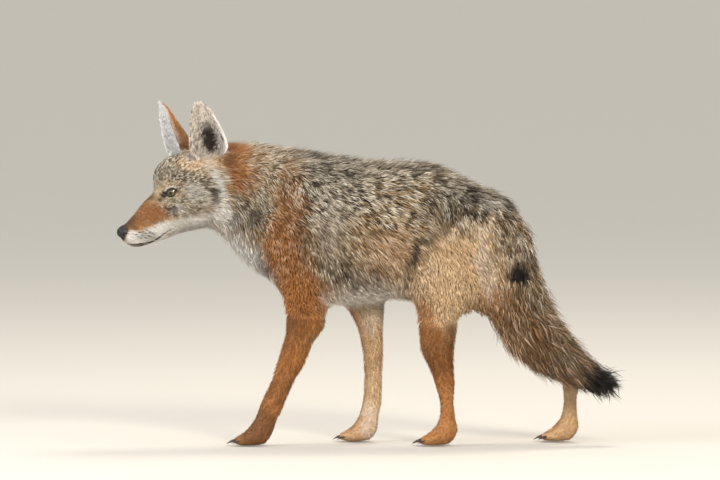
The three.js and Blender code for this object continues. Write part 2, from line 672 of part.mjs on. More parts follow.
// ---------- The model ----------
const model = new THREE.Group();
model.name = "golden_wolf";
for (const [name, { solid, colour, roughness }] of parts) {
  const mesh = solid.getMesh();
  const geometry = new THREE.BufferGeometry();
  const corners = Array.from(mesh.triVerts, (v) => Array.from(mesh.vertProperties.slice(v * 3, v * 3 + 3))).flat();
  geometry.setAttribute("position", new THREE.Float32BufferAttribute(corners, 3));
  geometry.computeVertexNormals();
  const piece = new THREE.Mesh(geometry, new THREE.MeshStandardMaterial({ color: colour, roughness }));
  piece.name = name;
  model.add(piece);
}
const bounds = new THREE.Box3().setFromObject(model);
const middle = bounds.getCenter(new THREE.Vector3());
for (const piece of model.children) piece.geometry.translate(-middle.x, -middle.y, -bounds.min.z);
export default model;
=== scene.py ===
import math
import bpy
import bmesh
import numpy as np
from mathutils import Matrix, Vector
from mathutils.bvhtree import BVHTree
from mathutils.kdtree import KDTree


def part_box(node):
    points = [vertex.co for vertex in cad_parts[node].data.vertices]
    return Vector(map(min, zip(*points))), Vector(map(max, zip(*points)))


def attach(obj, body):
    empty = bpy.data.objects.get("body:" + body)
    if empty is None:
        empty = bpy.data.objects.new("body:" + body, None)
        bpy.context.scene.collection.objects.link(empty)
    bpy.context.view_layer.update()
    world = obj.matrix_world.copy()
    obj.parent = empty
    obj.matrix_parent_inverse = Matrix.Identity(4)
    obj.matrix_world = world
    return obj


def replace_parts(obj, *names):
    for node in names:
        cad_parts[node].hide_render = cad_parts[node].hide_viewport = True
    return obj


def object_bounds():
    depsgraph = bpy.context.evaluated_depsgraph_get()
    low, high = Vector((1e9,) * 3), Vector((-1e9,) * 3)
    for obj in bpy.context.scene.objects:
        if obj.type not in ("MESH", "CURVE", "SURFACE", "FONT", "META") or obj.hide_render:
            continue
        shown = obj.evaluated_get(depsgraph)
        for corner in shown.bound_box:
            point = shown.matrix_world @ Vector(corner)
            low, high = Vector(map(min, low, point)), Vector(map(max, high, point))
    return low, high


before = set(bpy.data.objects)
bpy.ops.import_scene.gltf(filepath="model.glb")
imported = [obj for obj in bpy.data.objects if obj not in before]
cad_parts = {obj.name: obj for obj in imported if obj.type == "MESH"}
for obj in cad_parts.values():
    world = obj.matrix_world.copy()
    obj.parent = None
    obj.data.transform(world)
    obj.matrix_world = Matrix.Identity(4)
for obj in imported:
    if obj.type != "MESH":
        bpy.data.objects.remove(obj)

mm = 0.001
cadLow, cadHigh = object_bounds()
scene = bpy.context.scene


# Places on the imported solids
def middle(nodeName):
    low, high = (Vector(v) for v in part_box(nodeName))
    return (low + high) / 2


def spot(nodeName, fx, fy, fz):
    low, high = (Vector(v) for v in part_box(nodeName))
    return Vector(low[i] + (high[i] - low[i]) * f for i, f in enumerate((fx, fy, fz)))


# The head is turned, so it gets a frame of its own from the point between the eyes, in millimetres:
# along runs to the nose, side to the animal's right, up to the crown.
browPoint = (middle("eye_left") + middle("eye_right")) / 2
upAxis = Vector((0, 0, 1))
sideAxis = middle("eye_right") - middle("eye_left")
sideAxis = Vector((sideAxis.x, sideAxis.y, 0)).normalized()
alongAxis = upAxis.cross(sideAxis)
headAxes = np.array([alongAxis, sideAxis, upAxis])


def inHead(points):
    return (np.asarray(points) - np.array(browPoint)) @ headAxes.T / mm


def headWay(along, side, up):
    return (alongAxis * along + sideAxis * side + upAxis * up).normalized()


def fromHead(along, side, up):
    return browPoint + (alongAxis * along + sideAxis * side + upAxis * up) * mm


def smoothStep(low, high, value):
    t = np.clip((value - low) / (high - low), 0, 1)
    return t * t * (3 - 2 * t)


def unit(vectors):
    return vectors / np.maximum(np.linalg.norm(vectors, axis=1), 1e-9)[:, None]


# Hex colours are sRGB, the shaders want linear light
def linear(hexColour):
    channels = [int(hexColour[i:i + 2], 16) / 255 for i in (1, 3, 5)]
    return tuple(c / 12.92 if c <= 0.04045 else ((c + 0.055) / 1.055) ** 2.4 for c in channels) + (1.0,)


# Adds a node with its settings, its values and links and, for a colour ramp, its stops
def addNode(tree, kind, inputs=None, stops=(), out=0, **settings):
    added = tree.nodes.new("ShaderNode" + kind)
    for name, value in settings.items():
        setattr(added, name, value)
    for name, value in (inputs or {}).items():
        socket = added.inputs[name]
        if isinstance(value, bpy.types.NodeSocket):
            tree.links.new(value, socket)
        else:
            socket.default_value = value
    if stops:
        elements = added.color_ramp.elements
        while len(elements) < len(stops):
            elements.new(0.5)
        for element, (position, level) in zip(elements, stops):
            element.position = position
            element.color = linear(level) if isinstance(level, str) else (level, level, level, 1)
    return added.outputs[out]


def newMaterial(name, colour=None, **finish):
    material = bpy.data.materials.new(name)
    material.use_nodes = True
    tree = material.node_tree
    shader = tree.nodes["Principled BSDF"]
    if colour:
        shader.inputs["Base Color"].default_value = linear(colour)
    for socket, value in finish.items():
        shader.inputs[socket.replace("_", " ")].default_value = value
    return material, tree, shader


def newObject(name, data):
    made = bpy.data.objects.new(name, data)
    scene.collection.objects.link(made)
    return made


def newPiece(name, mesh, material):
    piece = newObject(name, mesh)
    mesh.materials.clear()
    mesh.materials.append(material)
    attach(piece, "root")
    return piece


def toMesh(bm, name):
    mesh = bpy.data.meshes.new(name)
    bm.to_mesh(mesh)
    bm.free()
    return mesh


# The mesh that an object's modifiers or curve come to; the object itself goes
def evaluated(holder):
    graph = bpy.context.evaluated_depsgraph_get()
    mesh = bpy.data.meshes.new_from_object(holder.evaluated_get(graph))
    bpy.data.objects.remove(holder)
    return mesh


def setFloats(mesh, name, values):
    layer = mesh.attributes.new(name, "FLOAT", "POINT").data
    layer.foreach_set("value", np.asarray(values, dtype=np.float32))


def getFloats(mesh, name):
    values = np.empty(len(mesh.vertices))
    mesh.attributes[name].data.foreach_get("value", values)
    return values


def getVectors(mesh, name):
    values = np.empty(len(mesh.vertices) * 3)
    mesh.vertices.foreach_get(name, values)
    return values.reshape(-1, 3)


# Camera, floor and lights
camera = {
    "lens": 400,  # mm
    "sensor": 36,  # mm across
    "clip": (0.5, 200),  # m
    "width": 1.08,  # m across the picture at the animal
    "elevation": 2.5,  # degrees above the level
    "aim": (0.490, 0.5, 0.592),  # of the model's box
}


def placeCamera():
    data = bpy.data.cameras.new("camera")
    data.lens, data.sensor_width = camera["lens"], camera["sensor"]
    data.clip_start, data.clip_end = camera["clip"]
    holder = newObject("camera", data)
    aim = Vector(cadLow[i] + (cadHigh[i] - cadLow[i]) * f for i, f in enumerate(camera["aim"]))
    tilt = math.radians(camera["elevation"])
    back = Vector((0, -math.cos(tilt), math.sin(tilt)))
    holder.location = aim + back * camera["width"] / camera["sensor"] * camera["lens"]
    holder.rotation_euler = (-back).to_track_quat("-Z", "Y").to_euler()
    scene.camera = holder


studio = {
    "floor": "#bcb8b0",
    "floorRadius": 60,
    "sky": "#dad9d6",
    "skyStrength": 1.45,
    "lampsAim": (0, 0, 0.28),
    "lamps": [
        # name, place, size, watts, colour
        ("key_light", (1.5, -4.2, 2.3), 1.3, 245, "#fff6ea"),
        ("fill_light", (-3.4, -1.8, 1.6), 2.4, 130, "#f4f4ff"),
        ("top_light", (0.8, 1.6, 3.8), 1.4, 80, "#fff6ea"),
    ],
}


def buildStudio():
    bm = bmesh.new()
    bmesh.ops.create_circle(bm, cap_ends=True, segments=64, radius=studio["floorRadius"])
    floor = newObject("floor", toMesh(bm, "floor"))
    # Matt painted board: even, slightly warm, no shine
    board = newMaterial("matt_painted_board", studio["floor"], Roughness=0.9, Specular_IOR_Level=0.2)[0]
    floor.data.materials.append(board)
    world = bpy.data.worlds.new("studio")
    world.use_nodes = True
    sky = world.node_tree.nodes["Background"]
    sky.inputs["Color"].default_value = linear(studio["sky"])
    sky.inputs["Strength"].default_value = studio["skyStrength"]
    scene.world = world
    for name, place, size, watts, tint in studio["lamps"]:
        data = bpy.data.lights.new(name, "AREA")
        data.shape, data.size, data.energy = "DISK", size, watts
        data.color = linear(tint)[:3]
        lamp = newObject(name, data)
        lamp.location = place
        lamp.rotation_euler = (Vector(studio["lampsAim"]) - Vector(place)).to_track_quat("-Z", "Y").to_euler()
        lamp.visible_camera = False
    scene.view_settings.view_transform = "Standard"


placeCamera()
buildStudio()
print("studio ready")


# Skin: which solids it stands for, and how deep the coat is on each, in mm
coatDepth = {
    "head": 4, "lower_jaw": 1.4, "ear_left": 1.1, "ear_right": 1.1,
    "neck": 15, "chest": 12, "belly": 12, "rump": 12,
    "tail_root": 15, "tail_middle": 20, "tail_tip": 19,
    "front_left_upper": 8, "front_left_lower": 3, "front_left_foot": 1.5,
    "front_right_upper": 8, "front_right_lower": 3, "front_right_foot": 1.5,
    "hind_left_upper": 9, "hind_left_lower": 3.5, "hind_left_foot": 1.8,
    "hind_right_upper": 9, "hind_right_lower": 3.5, "hind_right_foot": 1.8,
}
flesh = list(coatDepth)
legs = ["front_left", "front_right", "hind_left", "hind_right"]
skinMake = {
    "voxel": 3.1,  # mm
    "overlap": 0.35,  # mm, closes the cuts between the solids
    "smoothing": 9,  # rounds
    "earSmoothing": 3,
    "depthSmoothing": 40,
    "innerSmoothing": 4,
    "barest": 0.15,  # share of the depth that stays round the eyes
    "bareFrom": 13,  # mm from the middle of an eye, to where the depth is whole again
    "bareTo": 24,
    "noseDepth": 1.2,  # mm
    "soles": 0.4,  # mm over the floor
}

feetMake = {
    "cleft": 3.0,  # mm deep, between two toes
    "cleftWide": 1.5,
    "toe": 3.6,  # how far the end of a toe rounds out
    "toeWide": 5,
}


def meshedCopy(names, overlap):
    joined = bmesh.new()
    owners = []
    for index, name in enumerate(names):
        bm = bmesh.new()
        bm.from_mesh(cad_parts[name].data)
        bmesh.ops.remove_doubles(bm, verts=bm.verts, dist=1e-6)
        bm.normal_update()
        for v in bm.verts:
            v.co += v.normal * overlap * mm
        part = toMesh(bm, "part")
        joined.from_mesh(part)
        owners += [index] * len(part.polygons)
        bpy.data.meshes.remove(part)
    return joined, owners


# One surface round all that is in joined
def melted(joined, name, voxel):
    holder = newObject("melting", toMesh(joined, name))
    remesh = holder.modifiers.new("remesh", "REMESH")
    remesh.mode, remesh.voxel_size, remesh.use_smooth_shade = "VOXEL", voxel * mm, True
    bm = bmesh.new()
    bm.from_mesh(evaluated(holder))
    return bm


def spread(bm, values, rounds):
    # Evens a value out over the surface, each point taking the mean of its neighbours
    edges = np.array([[v.index for v in e.verts] for e in bm.edges])
    ends = np.concatenate([edges, edges[:, ::-1]])
    count = np.bincount(ends[:, 0], minlength=len(values))
    for _ in range(rounds):
        total = np.bincount(ends[:, 0], weights=values[ends[:, 1]], minlength=len(values))
        values = (values + total / np.maximum(count, 1)) / 2
    return values


def places(bm):
    return np.array([v.co for v in bm.verts])


def setPlaces(bm, points):
    for v, p in zip(bm.verts, points):
        v.co = p
    bm.normal_update()


def smoothVerts(bm, verts, rounds):
    axes = {"use_axis_x": True, "use_axis_y": True, "use_axis_z": True}
    for _ in range(rounds):
        bmesh.ops.smooth_vert(bm, verts=verts, factor=0.5, **axes)
    bm.normal_update()


# Eyes: a frame for each, looking out, with the slant of the lids
eyeMake = {
    "outward": (0.55, 0.80, -0.18),  # of the opening, in the head's frame
    "widthHalf": 8.6,  # mm, from the middle of the opening to a corner
    "upperHigh": 4.4,
    "lowerHigh": 4.7,
    "slant": 22,  # degrees, the outer corner is higher
    "lid": 1.1,  # mm, thickness of the lids
    "ahead": 0.1,  # how far the gaze turns from the opening to the nose
    "iris": 38,  # degrees from the middle of the gaze to the rim of the iris
    "bulge": 0.9,  # mm, of the cornea
    "sunk": 1.6,  # mm, of the skin behind the ball inside the opening
    "crease": (0.5, 3.2, 0.8),  # mm deep, beyond the edge of the upper lid, wide
    "pull": 20,  # mm from the middle of the eye that the lids draw in
    "near": 24,  # mm from the middle that counts as round the eye
    "white": "#3a2c22", "pupil": "#060504", "lids": "#14100d",
    "irisStops": ((0.3, "#3d3423"), (0.55, "#6b6148"), (0.75, "#959074")),
    "rimStops": ((0.3, "#8f8264"), (0.6, "#ffffff"), (0.85, "#ffffff"), (0.98, "#2b2015")),
}


def eyeFrame(name):
    centre = middle(name)
    low, high = (Vector(v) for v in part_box(name))
    sign = 1 if (centre - browPoint).dot(sideAxis) > 0 else -1
    along, side, up = eyeMake["outward"]
    outward = headWay(along, side * sign, up)
    level = upAxis.cross(outward).normalized()
    level = level if level.dot(alongAxis) < 0 else -level
    rise = level.cross(outward)
    rise = rise if rise.z > 0 else -rise
    turn = math.radians(eyeMake["slant"])
    return {
        "centre": centre, "radius": (high.z - low.z) / 2 / mm, "outward": outward,
        "outer": level * math.cos(turn) + rise * math.sin(turn),
        "above": rise * math.cos(turn) - level * math.sin(turn),
        "gaze": (outward + alongAxis * eyeMake["ahead"]).normalized(),
    }


eyes = {name: eyeFrame(name) for name in ("eye_left", "eye_right")}


def lidEdge(a):
    # Heights of the upper and lower lid's edge, a mm from the middle towards the outer corner
    t = np.clip(np.abs(a) / eyeMake["widthHalf"], 0, 1)
    return eyeMake["upperHigh"] * (1 - t ** 2.6) ** 0.8, -eyeMake["lowerHigh"] * (1 - t ** 1.8)


def onLids(points):
    # How far a point lies beyond the lids' edge, in mm, and which side of the eye it is on
    beyond = np.full(len(points), 99.0)
    high = np.zeros(len(points))
    for eye in eyes.values():
        offset = (np.asarray(points) - np.array(eye["centre"])) / mm
        away = np.linalg.norm(offset, axis=1)
        a, b = offset @ np.array(eye["outer"]), offset @ np.array(eye["above"])
        upper, lower = lidEdge(a)
        here = np.maximum(np.maximum(b - upper, lower - b), np.abs(a) - eyeMake["widthHalf"])
        near = (away < eyeMake["near"]) & (offset @ np.array(eye["outward"]) > 1)
        high = np.where(near, b, high)
        beyond = np.where(near, here, beyond)
    return beyond, high


# Folds and hollows of the head: place and reach along, aside and up in mm, then how far out
headFolds = [
    ((-1, 24, 13), (13, 9, 6), 1.6),  # brow over the eye
    ((14, 17, -1), (8, 6, 8), -2.6),  # hollow at the inner corner
    ((-16, 33, -4), (9, 7, 8), -1.0),  # behind the eye
    ((8, 26, -20), (18, 9, 8), 1.0),  # cheek bone
    ((26, 17, -34), (15, 7, 9), -1.6),  # hollow before the cheek
    ((0, 0, 24), (26, 4.5, 24), -1.5),  # furrow of the forehead
    ((30, 4, -22), (20, 5, 10), 0.8),  # bridge of the nose
    ((46, 11, -68), (22, 8, 8), 1.1),  # upper lip
    ((15, 22, -60), (10, 8, 6), 0.8),  # corner of the mouth
    ((50, 9, -84), (18, 8, 4), -0.8),  # under the lip
]
# The mouth in the head's frame: along and up, from the corner to the front
mouthPath = [(3, -55.5), (8, -58.5), (14, -62.5), (20, -68), (27, -72.5), (34, -75.2), (42, -76.6),
             (50, -77.6)]
mouthFront = {"centre": 50, "up": -78.4, "turns": 7}


def bumps(local, rows):
    # How far out each point goes for soft bumps and hollows, the same on both sides
    total = np.zeros(len(local))
    for (along, side, up), reach, amount in rows:
        gap = np.stack([local[:, 0] - along, np.abs(local[:, 1]) - side, local[:, 2] - up], axis=1)
        total += amount * np.exp(-np.sum((gap / np.array(reach)) ** 2, axis=1))
    return total


def meltSkin():
    joined, owners = meshedCopy(flesh + ["nose"], skinMake["overlap"])
    solids = BVHTree.FromBMesh(joined)
    # the eyeballs fill their sockets while the surface is made
    joined.from_mesh(toMesh(meshedCopy(list(eyes), skinMake["overlap"])[0], "balls"))
    bm = melted(joined, "joined", skinMake["voxel"])
    owner = np.array([owners[solids.find_nearest(v.co)[2]] for v in bm.verts])
    ears = [flesh.index("ear_left"), flesh.index("ear_right")]
    smoothVerts(bm, [v for v, o in zip(bm.verts, owner) if o not in ears], skinMake["smoothing"])
    smoothVerts(bm, bm.verts[:], skinMake["earSmoothing"])
    return bm, owner


def depthOf(points, owner):
    depths = np.array(list(coatDepth.values()) + [skinMake["noseDepth"]])[owner]
    head = inHead(points)
    onHead = np.isin(owner, [flesh.index("head"), flesh.index("lower_jaw"), len(flesh)])
    # the coat of the head grows from a millimetre on the muzzle to a deep ruff on the cheeks
    ruff = 1.1 + 2.0 * smoothStep(30, -10, head[:, 0]) + 7 * smoothStep(-20, -75, head[:, 0])
    return np.where(onHead, ruff, depths)


def sinkSkin(bm, owner):
    outer = places(bm)
    depth = spread(bm, depthOf(outer, owner), skinMake["depthSmoothing"])
    bareRing = skinMake["bareFrom"], skinMake["bareTo"]
    for eye in eyes.values():
        away = np.linalg.norm(outer - np.array(eye["centre"]), axis=1) / mm
        depth *= skinMake["barest"] + (1 - skinMake["barest"]) * smoothStep(*bareRing, away)
    normals = np.array([v.normal for v in bm.verts])
    setPlaces(bm, outer - normals * (depth * mm)[:, None])
    smoothVerts(bm, bm.verts[:], skinMake["innerSmoothing"])
    points = places(bm)
    points[:, 2] = np.maximum(points[:, 2], skinMake["soles"] * mm)  # the soles stay on the floor
    setPlaces(bm, points)
    depthLayer = bm.verts.layers.float.new("depth")
    ownerLayer = bm.verts.layers.int.new("owner")
    for v, out, whose in zip(bm.verts, outer, owner):
        v[depthLayer] = (v.co - Vector(out)).length / mm
        v[ownerLayer] = int(whose)


def refine(bm, wanted):
    edges = [e for e in bm.edges if wanted((e.verts[0].co + e.verts[1].co) / 2)]
    bmesh.ops.subdivide_edges(bm, edges=edges, cuts=1, use_grid_fill=True, smooth=0.0)
    bm.normal_update()


def findMouth(bm):
    # The mouth's line on the skin, from the left corner round the front to the right corner
    tree = BVHTree.FromBMesh(bm)
    half = []
    for along, up in mouthPath:
        half.append((fromHead(along, 0, up), 90))
    for i in range(1, mouthFront["turns"] + 1):
        front = fromHead(mouthFront["centre"], 0, mouthFront["up"])
        half.append((front, 90 - 90 * i / mouthFront["turns"]))
    line = []
    for sign in (-1, 1):
        found = []
        for start, angle in half:
            turn = math.radians(angle)
            way = alongAxis * math.cos(turn) + sideAxis * sign * math.sin(turn)
            hit = tree.ray_cast(start, way)[0]
            if hit is not None:
                found.append(hit)
        line.append(found)
    return line[0] + line[1][-2::-1]


def sculptHead(bm):
    moving = [v for v in bm.verts if inHeadBox(v.co)]
    head = inHead([v.co for v in moving])
    for v, out in zip(moving, bumps(head, headFolds)):
        v.co += v.normal * float(out) * mm
    bm.normal_update()
    creaseDeep, creaseAt, creaseWide = eyeMake["crease"]
    for eye in eyes.values():
        for v in moving:
            offset = (v.co - eye["centre"]) / mm
            if offset.length > eyeMake["pull"] or offset.dot(eye["outward"]) < 1:
                continue
            way = offset.normalized()
            beyond = float(onLids([v.co])[0][0])
            if beyond < 0:
                v.co = eye["centre"] + way * (eye["radius"] - eyeMake["sunk"]) * mm
            else:
                wanted = eye["radius"] + eyeMake["lid"] - 0.5 * math.exp(-beyond / 0.8)
                # a shallow crease where the upper lid folds under the brow
                high = way.dot(eye["above"]) * eye["radius"]
                crease = creaseDeep * math.exp(-((beyond - creaseAt) / creaseWide) ** 2) if high > 1 else 0
                # the skin is drawn in towards the opening
                furthest = wanted + 0.2 + 0.42 * beyond
                reach = furthest + (offset.length - furthest) * smoothStep(5, 10, beyond)
                length = max(min(offset.length, reach), wanted)
                v.co = eye["centre"] + way * float(length - crease) * mm
    bm.normal_update()


def sculptFeet(bm):
    # Four toes on each foot, parted by clefts that run back from between the claws
    for leg in legs:
        claws = [middle(f"{leg}_claw_{i}") for i in (1, 2, 3, 4)]
        wide = (claws[3] - claws[0]) * Vector((1, 1, 0))
        wide = Vector((wide.x, wide.y, 0)).normalized()
        ahead = Vector((wide.y, -wide.x, 0))
        ahead = ahead if ahead.x < 0 else -ahead
        centre = sum(claws, Vector()) / 4
        rows = sorted(((c - centre).dot(wide) / mm, (c - centre).dot(ahead) / mm) for c in claws)
        for v in bm.verts:
            offset = (v.co - centre) / mm
            side, front = offset.dot(wide), offset.dot(ahead)
            if abs(side) > 26 or not -26 < front < 14 or offset.z > 18:
                continue
            toe, tip = min(rows, key=lambda row: abs(row[0] - side))
            cleft = min(abs(side - (a[0] + b[0]) / 2) for a, b in zip(rows, rows[1:]))
            depth = feetMake["cleft"] * math.exp(-(cleft / feetMake["cleftWide"]) ** 2)
            depth *= smoothStep(-24, -13, front)
            push = feetMake["toe"] * max(0, 1 - ((side - toe) / feetMake["toeWide"]) ** 2)
            push *= smoothStep(-13, -5, front - tip)
            v.co += (ahead * float(push) - v.normal * float(depth)) * mm
    bm.normal_update()


def inHeadBox(co):
    offset = co - browPoint
    return offset.dot(alongAxis) > -62 * mm and -100 * mm < offset.z < 62 * mm


def pressMouth(bm, line):
    samples = []
    for a, b in zip(line, line[1:]):
        samples += [a.lerp(b, i / 6) for i in range(6)]
    samples.append(line[-1])
    near = KDTree(len(samples))
    for i, p in enumerate(samples):
        near.insert(p, i)
    near.balance()
    for v in bm.verts:
        if inHeadBox(v.co):
            gap = near.find(v.co)[2] / mm
            if gap < 6:
                v.co -= v.normal * 1.3 * math.exp(-(gap / 1.3) ** 2) * mm
    bm.normal_update()
    return near, samples


def buildSkin():
    bm, owner = meltSkin()
    sinkSkin(bm, owner)
    print("skin sunk by the coat's depth,", len(bm.verts), "points")
    refine(bm, lambda p: (p - browPoint).dot(alongAxis) > -20 * mm and p.z < browPoint.z + 30 * mm)
    line = findMouth(bm)
    centres = [eye["centre"] for eye in eyes.values()]
    refine(bm, lambda p: inHeadBox(p) and (min((p - c).length for c in centres) < 16 * mm
                                           or min((p - q).length for q in line) < 4 * mm))
    sculptHead(bm)
    toes = [middle(f"{leg}_claw_{i}") for leg in legs for i in (2, 3)]
    refine(bm, lambda p: p.z < 26 * mm and min((p - t).length for t in toes) < 30 * mm)
    sculptFeet(bm)
    mouth, samples = pressMouth(bm, line)
    mesh = toMesh(bm, "skin")
    mesh.shade_smooth()
    return mesh, mouth, samples


skinMesh, mouthTree, mouthLine = buildSkin()
print("skin has", len(skinMesh.polygons), "faces")

# Ears: frames that follow the cup of each, base and tip in the head's frame. The fringe grows from the
# edge at -1 or 1. Shade greys the inside as painted shade where the ear lies in shadow. Hollow and pouch place
# its dark spots: dark skin with painted shade deep in the cup, and painted shade in the pocket at the edge.
earMake = {
    "ear_left": {"base": (-44.5, -49, 44.5), "tip": (-31.5, -56, 136.5), "opens": (0.53, -0.83, 0.1),
                 "fringe": -1, "shade": 0.8, "hollow": 0.08, "pouch": 1},
    "ear_right": {"base": (-20.5, 34, 47.5), "tip": (0.5, 50, 134.5), "opens": (1, -0.02, 0.15),
                  "fringe": 1, "shade": 0.1, "hollow": -0.4, "pouch": 0},
}
earBreadth = [17, 32, 31, 29, 25.6, 22, 18, 6]  # half breadth in mm, from the base to the tip


def earFrame(make):
    base, tip = fromHead(*make["base"]), fromHead(*make["tip"])
    up = (tip - base).normalized()
    front = headWay(*make["opens"])
    front = (front - up * front.dot(up)).normalized()
    return {**make, "base": np.array(base), "up": np.array(up), "front": np.array(front),
            "across": np.array(up.cross(front)), "length": (tip - base).length / mm}


ears = {name: earFrame(make) for name, make in earMake.items()}


def onEar(points, normals, name):
    # Height 0 to 1, place across -1 to 1 with the fringed edge at -1, and whether it faces into the cup
    ear = ears[name]
    offset = (points - ear["base"]) / mm
    height = offset @ ear["up"] / ear["length"]
    across, forward = offset @ ear["across"], offset @ ear["front"]
    half = np.interp(height, np.linspace(0, 1, len(earBreadth)), earBreadth)
    centre = 10 * height - 4
    toCentre = -across * (normals @ ear["across"]) + (centre - forward) * (normals @ ear["front"])
    inner = toCentre + 12 * (normals @ ear["up"]) * (height < 0.35) > 0
    return height, across / half * -ear["fringe"], inner


def nearEar(points, name):
    low, high = (np.array(v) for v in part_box(name))
    ear = ears[name]
    height = (points - ear["base"]) @ ear["up"] / mm / ear["length"]
    inside = np.all((points > low - 1.5 * mm) & (points < high + 1.5 * mm), axis=1)
    return inside & (height > -0.02)


# The lie of the coat: paths of (solid, place in its box) from the nose back and down the legs
def legPath(leg):
    upper, lower, foot = f"{leg}_upper", f"{leg}_lower", f"{leg}_foot"
    return [(upper, 0.45, 0.5, 0.85), (upper, 0.5, 0.5, 0.4), (lower, 0.5, 0.5, 0.8), (lower, 0.5, 0.5, 0.2),
            (foot, 0.7, 0.5, 0.8), (foot, 0.6, 0.5, 0.3), (foot, 0.0, 0.5, 0.1)]


coatPaths = [
    [("nose", 0.5, 0.5, 1.0), ("head", 0.45, 0.45, 0.75), ("head", 0.85, 0.6, 1.0), ("neck", 0.45, 0.5, 0.98),
     ("neck", 1.0, 0.5, 0.92), ("chest", 0.9, 0.5, 0.98), ("belly", 1.0, 0.5, 0.99), ("rump", 0.5, 0.5, 0.97),
     ("tail_root", 0.6, 0.5, 0.9), ("tail_middle", 0.2, 0.5, 0.9), ("tail_middle", 0.7, 0.5, 0.35),
     ("tail_tip", 0.5, 0.5, 0.5), ("tail_tip", 1.0, 0.5, 0.05)],
    [("lower_jaw", 0.0, 0.5, 0.2), ("lower_jaw", 1.0, 0.5, 0.3), ("neck", 0.3, 0.5, 0.2),
     ("chest", 0.1, 0.5, 0.2), ("chest", 0.6, 0.5, 0.0), ("belly", 0.2, 0.5, 0.02),
     ("belly", 1.0, 0.5, 0.1), ("rump", 0.6, 0.5, 0.0)],
]
for y in (0.0, 1.0):
    coatPaths.append([("head", 0.1, 0.2 + 0.6 * y, 0.3), ("head", 0.6, y, 0.45),
                      ("neck", 0.3, y, 0.6), ("neck", 0.8, y, 0.45), ("chest", 0.6, y, 0.55),
                      ("belly", 0.4, y, 0.45), ("rump", 0.1, y, 0.55), ("rump", 0.7, y, 0.25)])
coatPaths += [legPath(leg) for leg in legs]


lieMake = {"step": 12, "soft": 200, "block": 20000}  # mm between stops, mm squared, points at a time


def pathSteps():
    starts, ways = [], []
    for path in coatPaths:
        stops = [spot(*stop) for stop in path]
        for a, b in zip(stops, stops[1:]):
            pieces = max(2, int((b - a).length / (lieMake["step"] * mm)))
            for i in range(pieces):
                starts.append(a + (b - a) * (i + 0.5) / pieces)
                ways.append((b - a).normalized())
    return np.array(starts), np.array(ways)


stepPlaces, stepWays = pathSteps()
lowCorner, wholeSize = np.array(cadLow), np.array(cadHigh) - np.array(cadLow)


def lieOfCoat(points, normals):
    way = np.zeros_like(points)
    for first in range(0, len(points), lieMake["block"]):
        block = points[first:first + lieMake["block"]]
        gap = np.linalg.norm(block[:, None] - stepPlaces[None], axis=2) / mm
        way[first:first + lieMake["block"]] = (1 / (gap ** 2 + lieMake["soft"]) ** 2) @ stepWays
    way = unit(way)
    height = (points[:, 2] - lowCorner[2]) / wholeSize[2]
    # hair hangs on the sides, and more so low on the flank
    flank = smoothStep(0.74, 0.5, height) * smoothStep(0.38, 0.46, height)
    way[:, 2] -= np.abs(normals[:, 1]) * (0.25 + 0.7 * flank)
    for name, ear in ears.items():
        here = nearEar(points, name)
        if here.any():
            tall, across, _ = onEar(points[here], normals[here], name)
            amount = smoothStep(0.0, 0.25, tall)[:, None]
            toRim = ear["across"] * (np.sign(across) * -ear["fringe"])[:, None]
            way[here] = way[here] * (1 - amount) + (ear["up"] + 0.35 * toRim) * amount
    way -= normals * np.sum(way * normals, axis=1)[:, None]
    return unit(way)


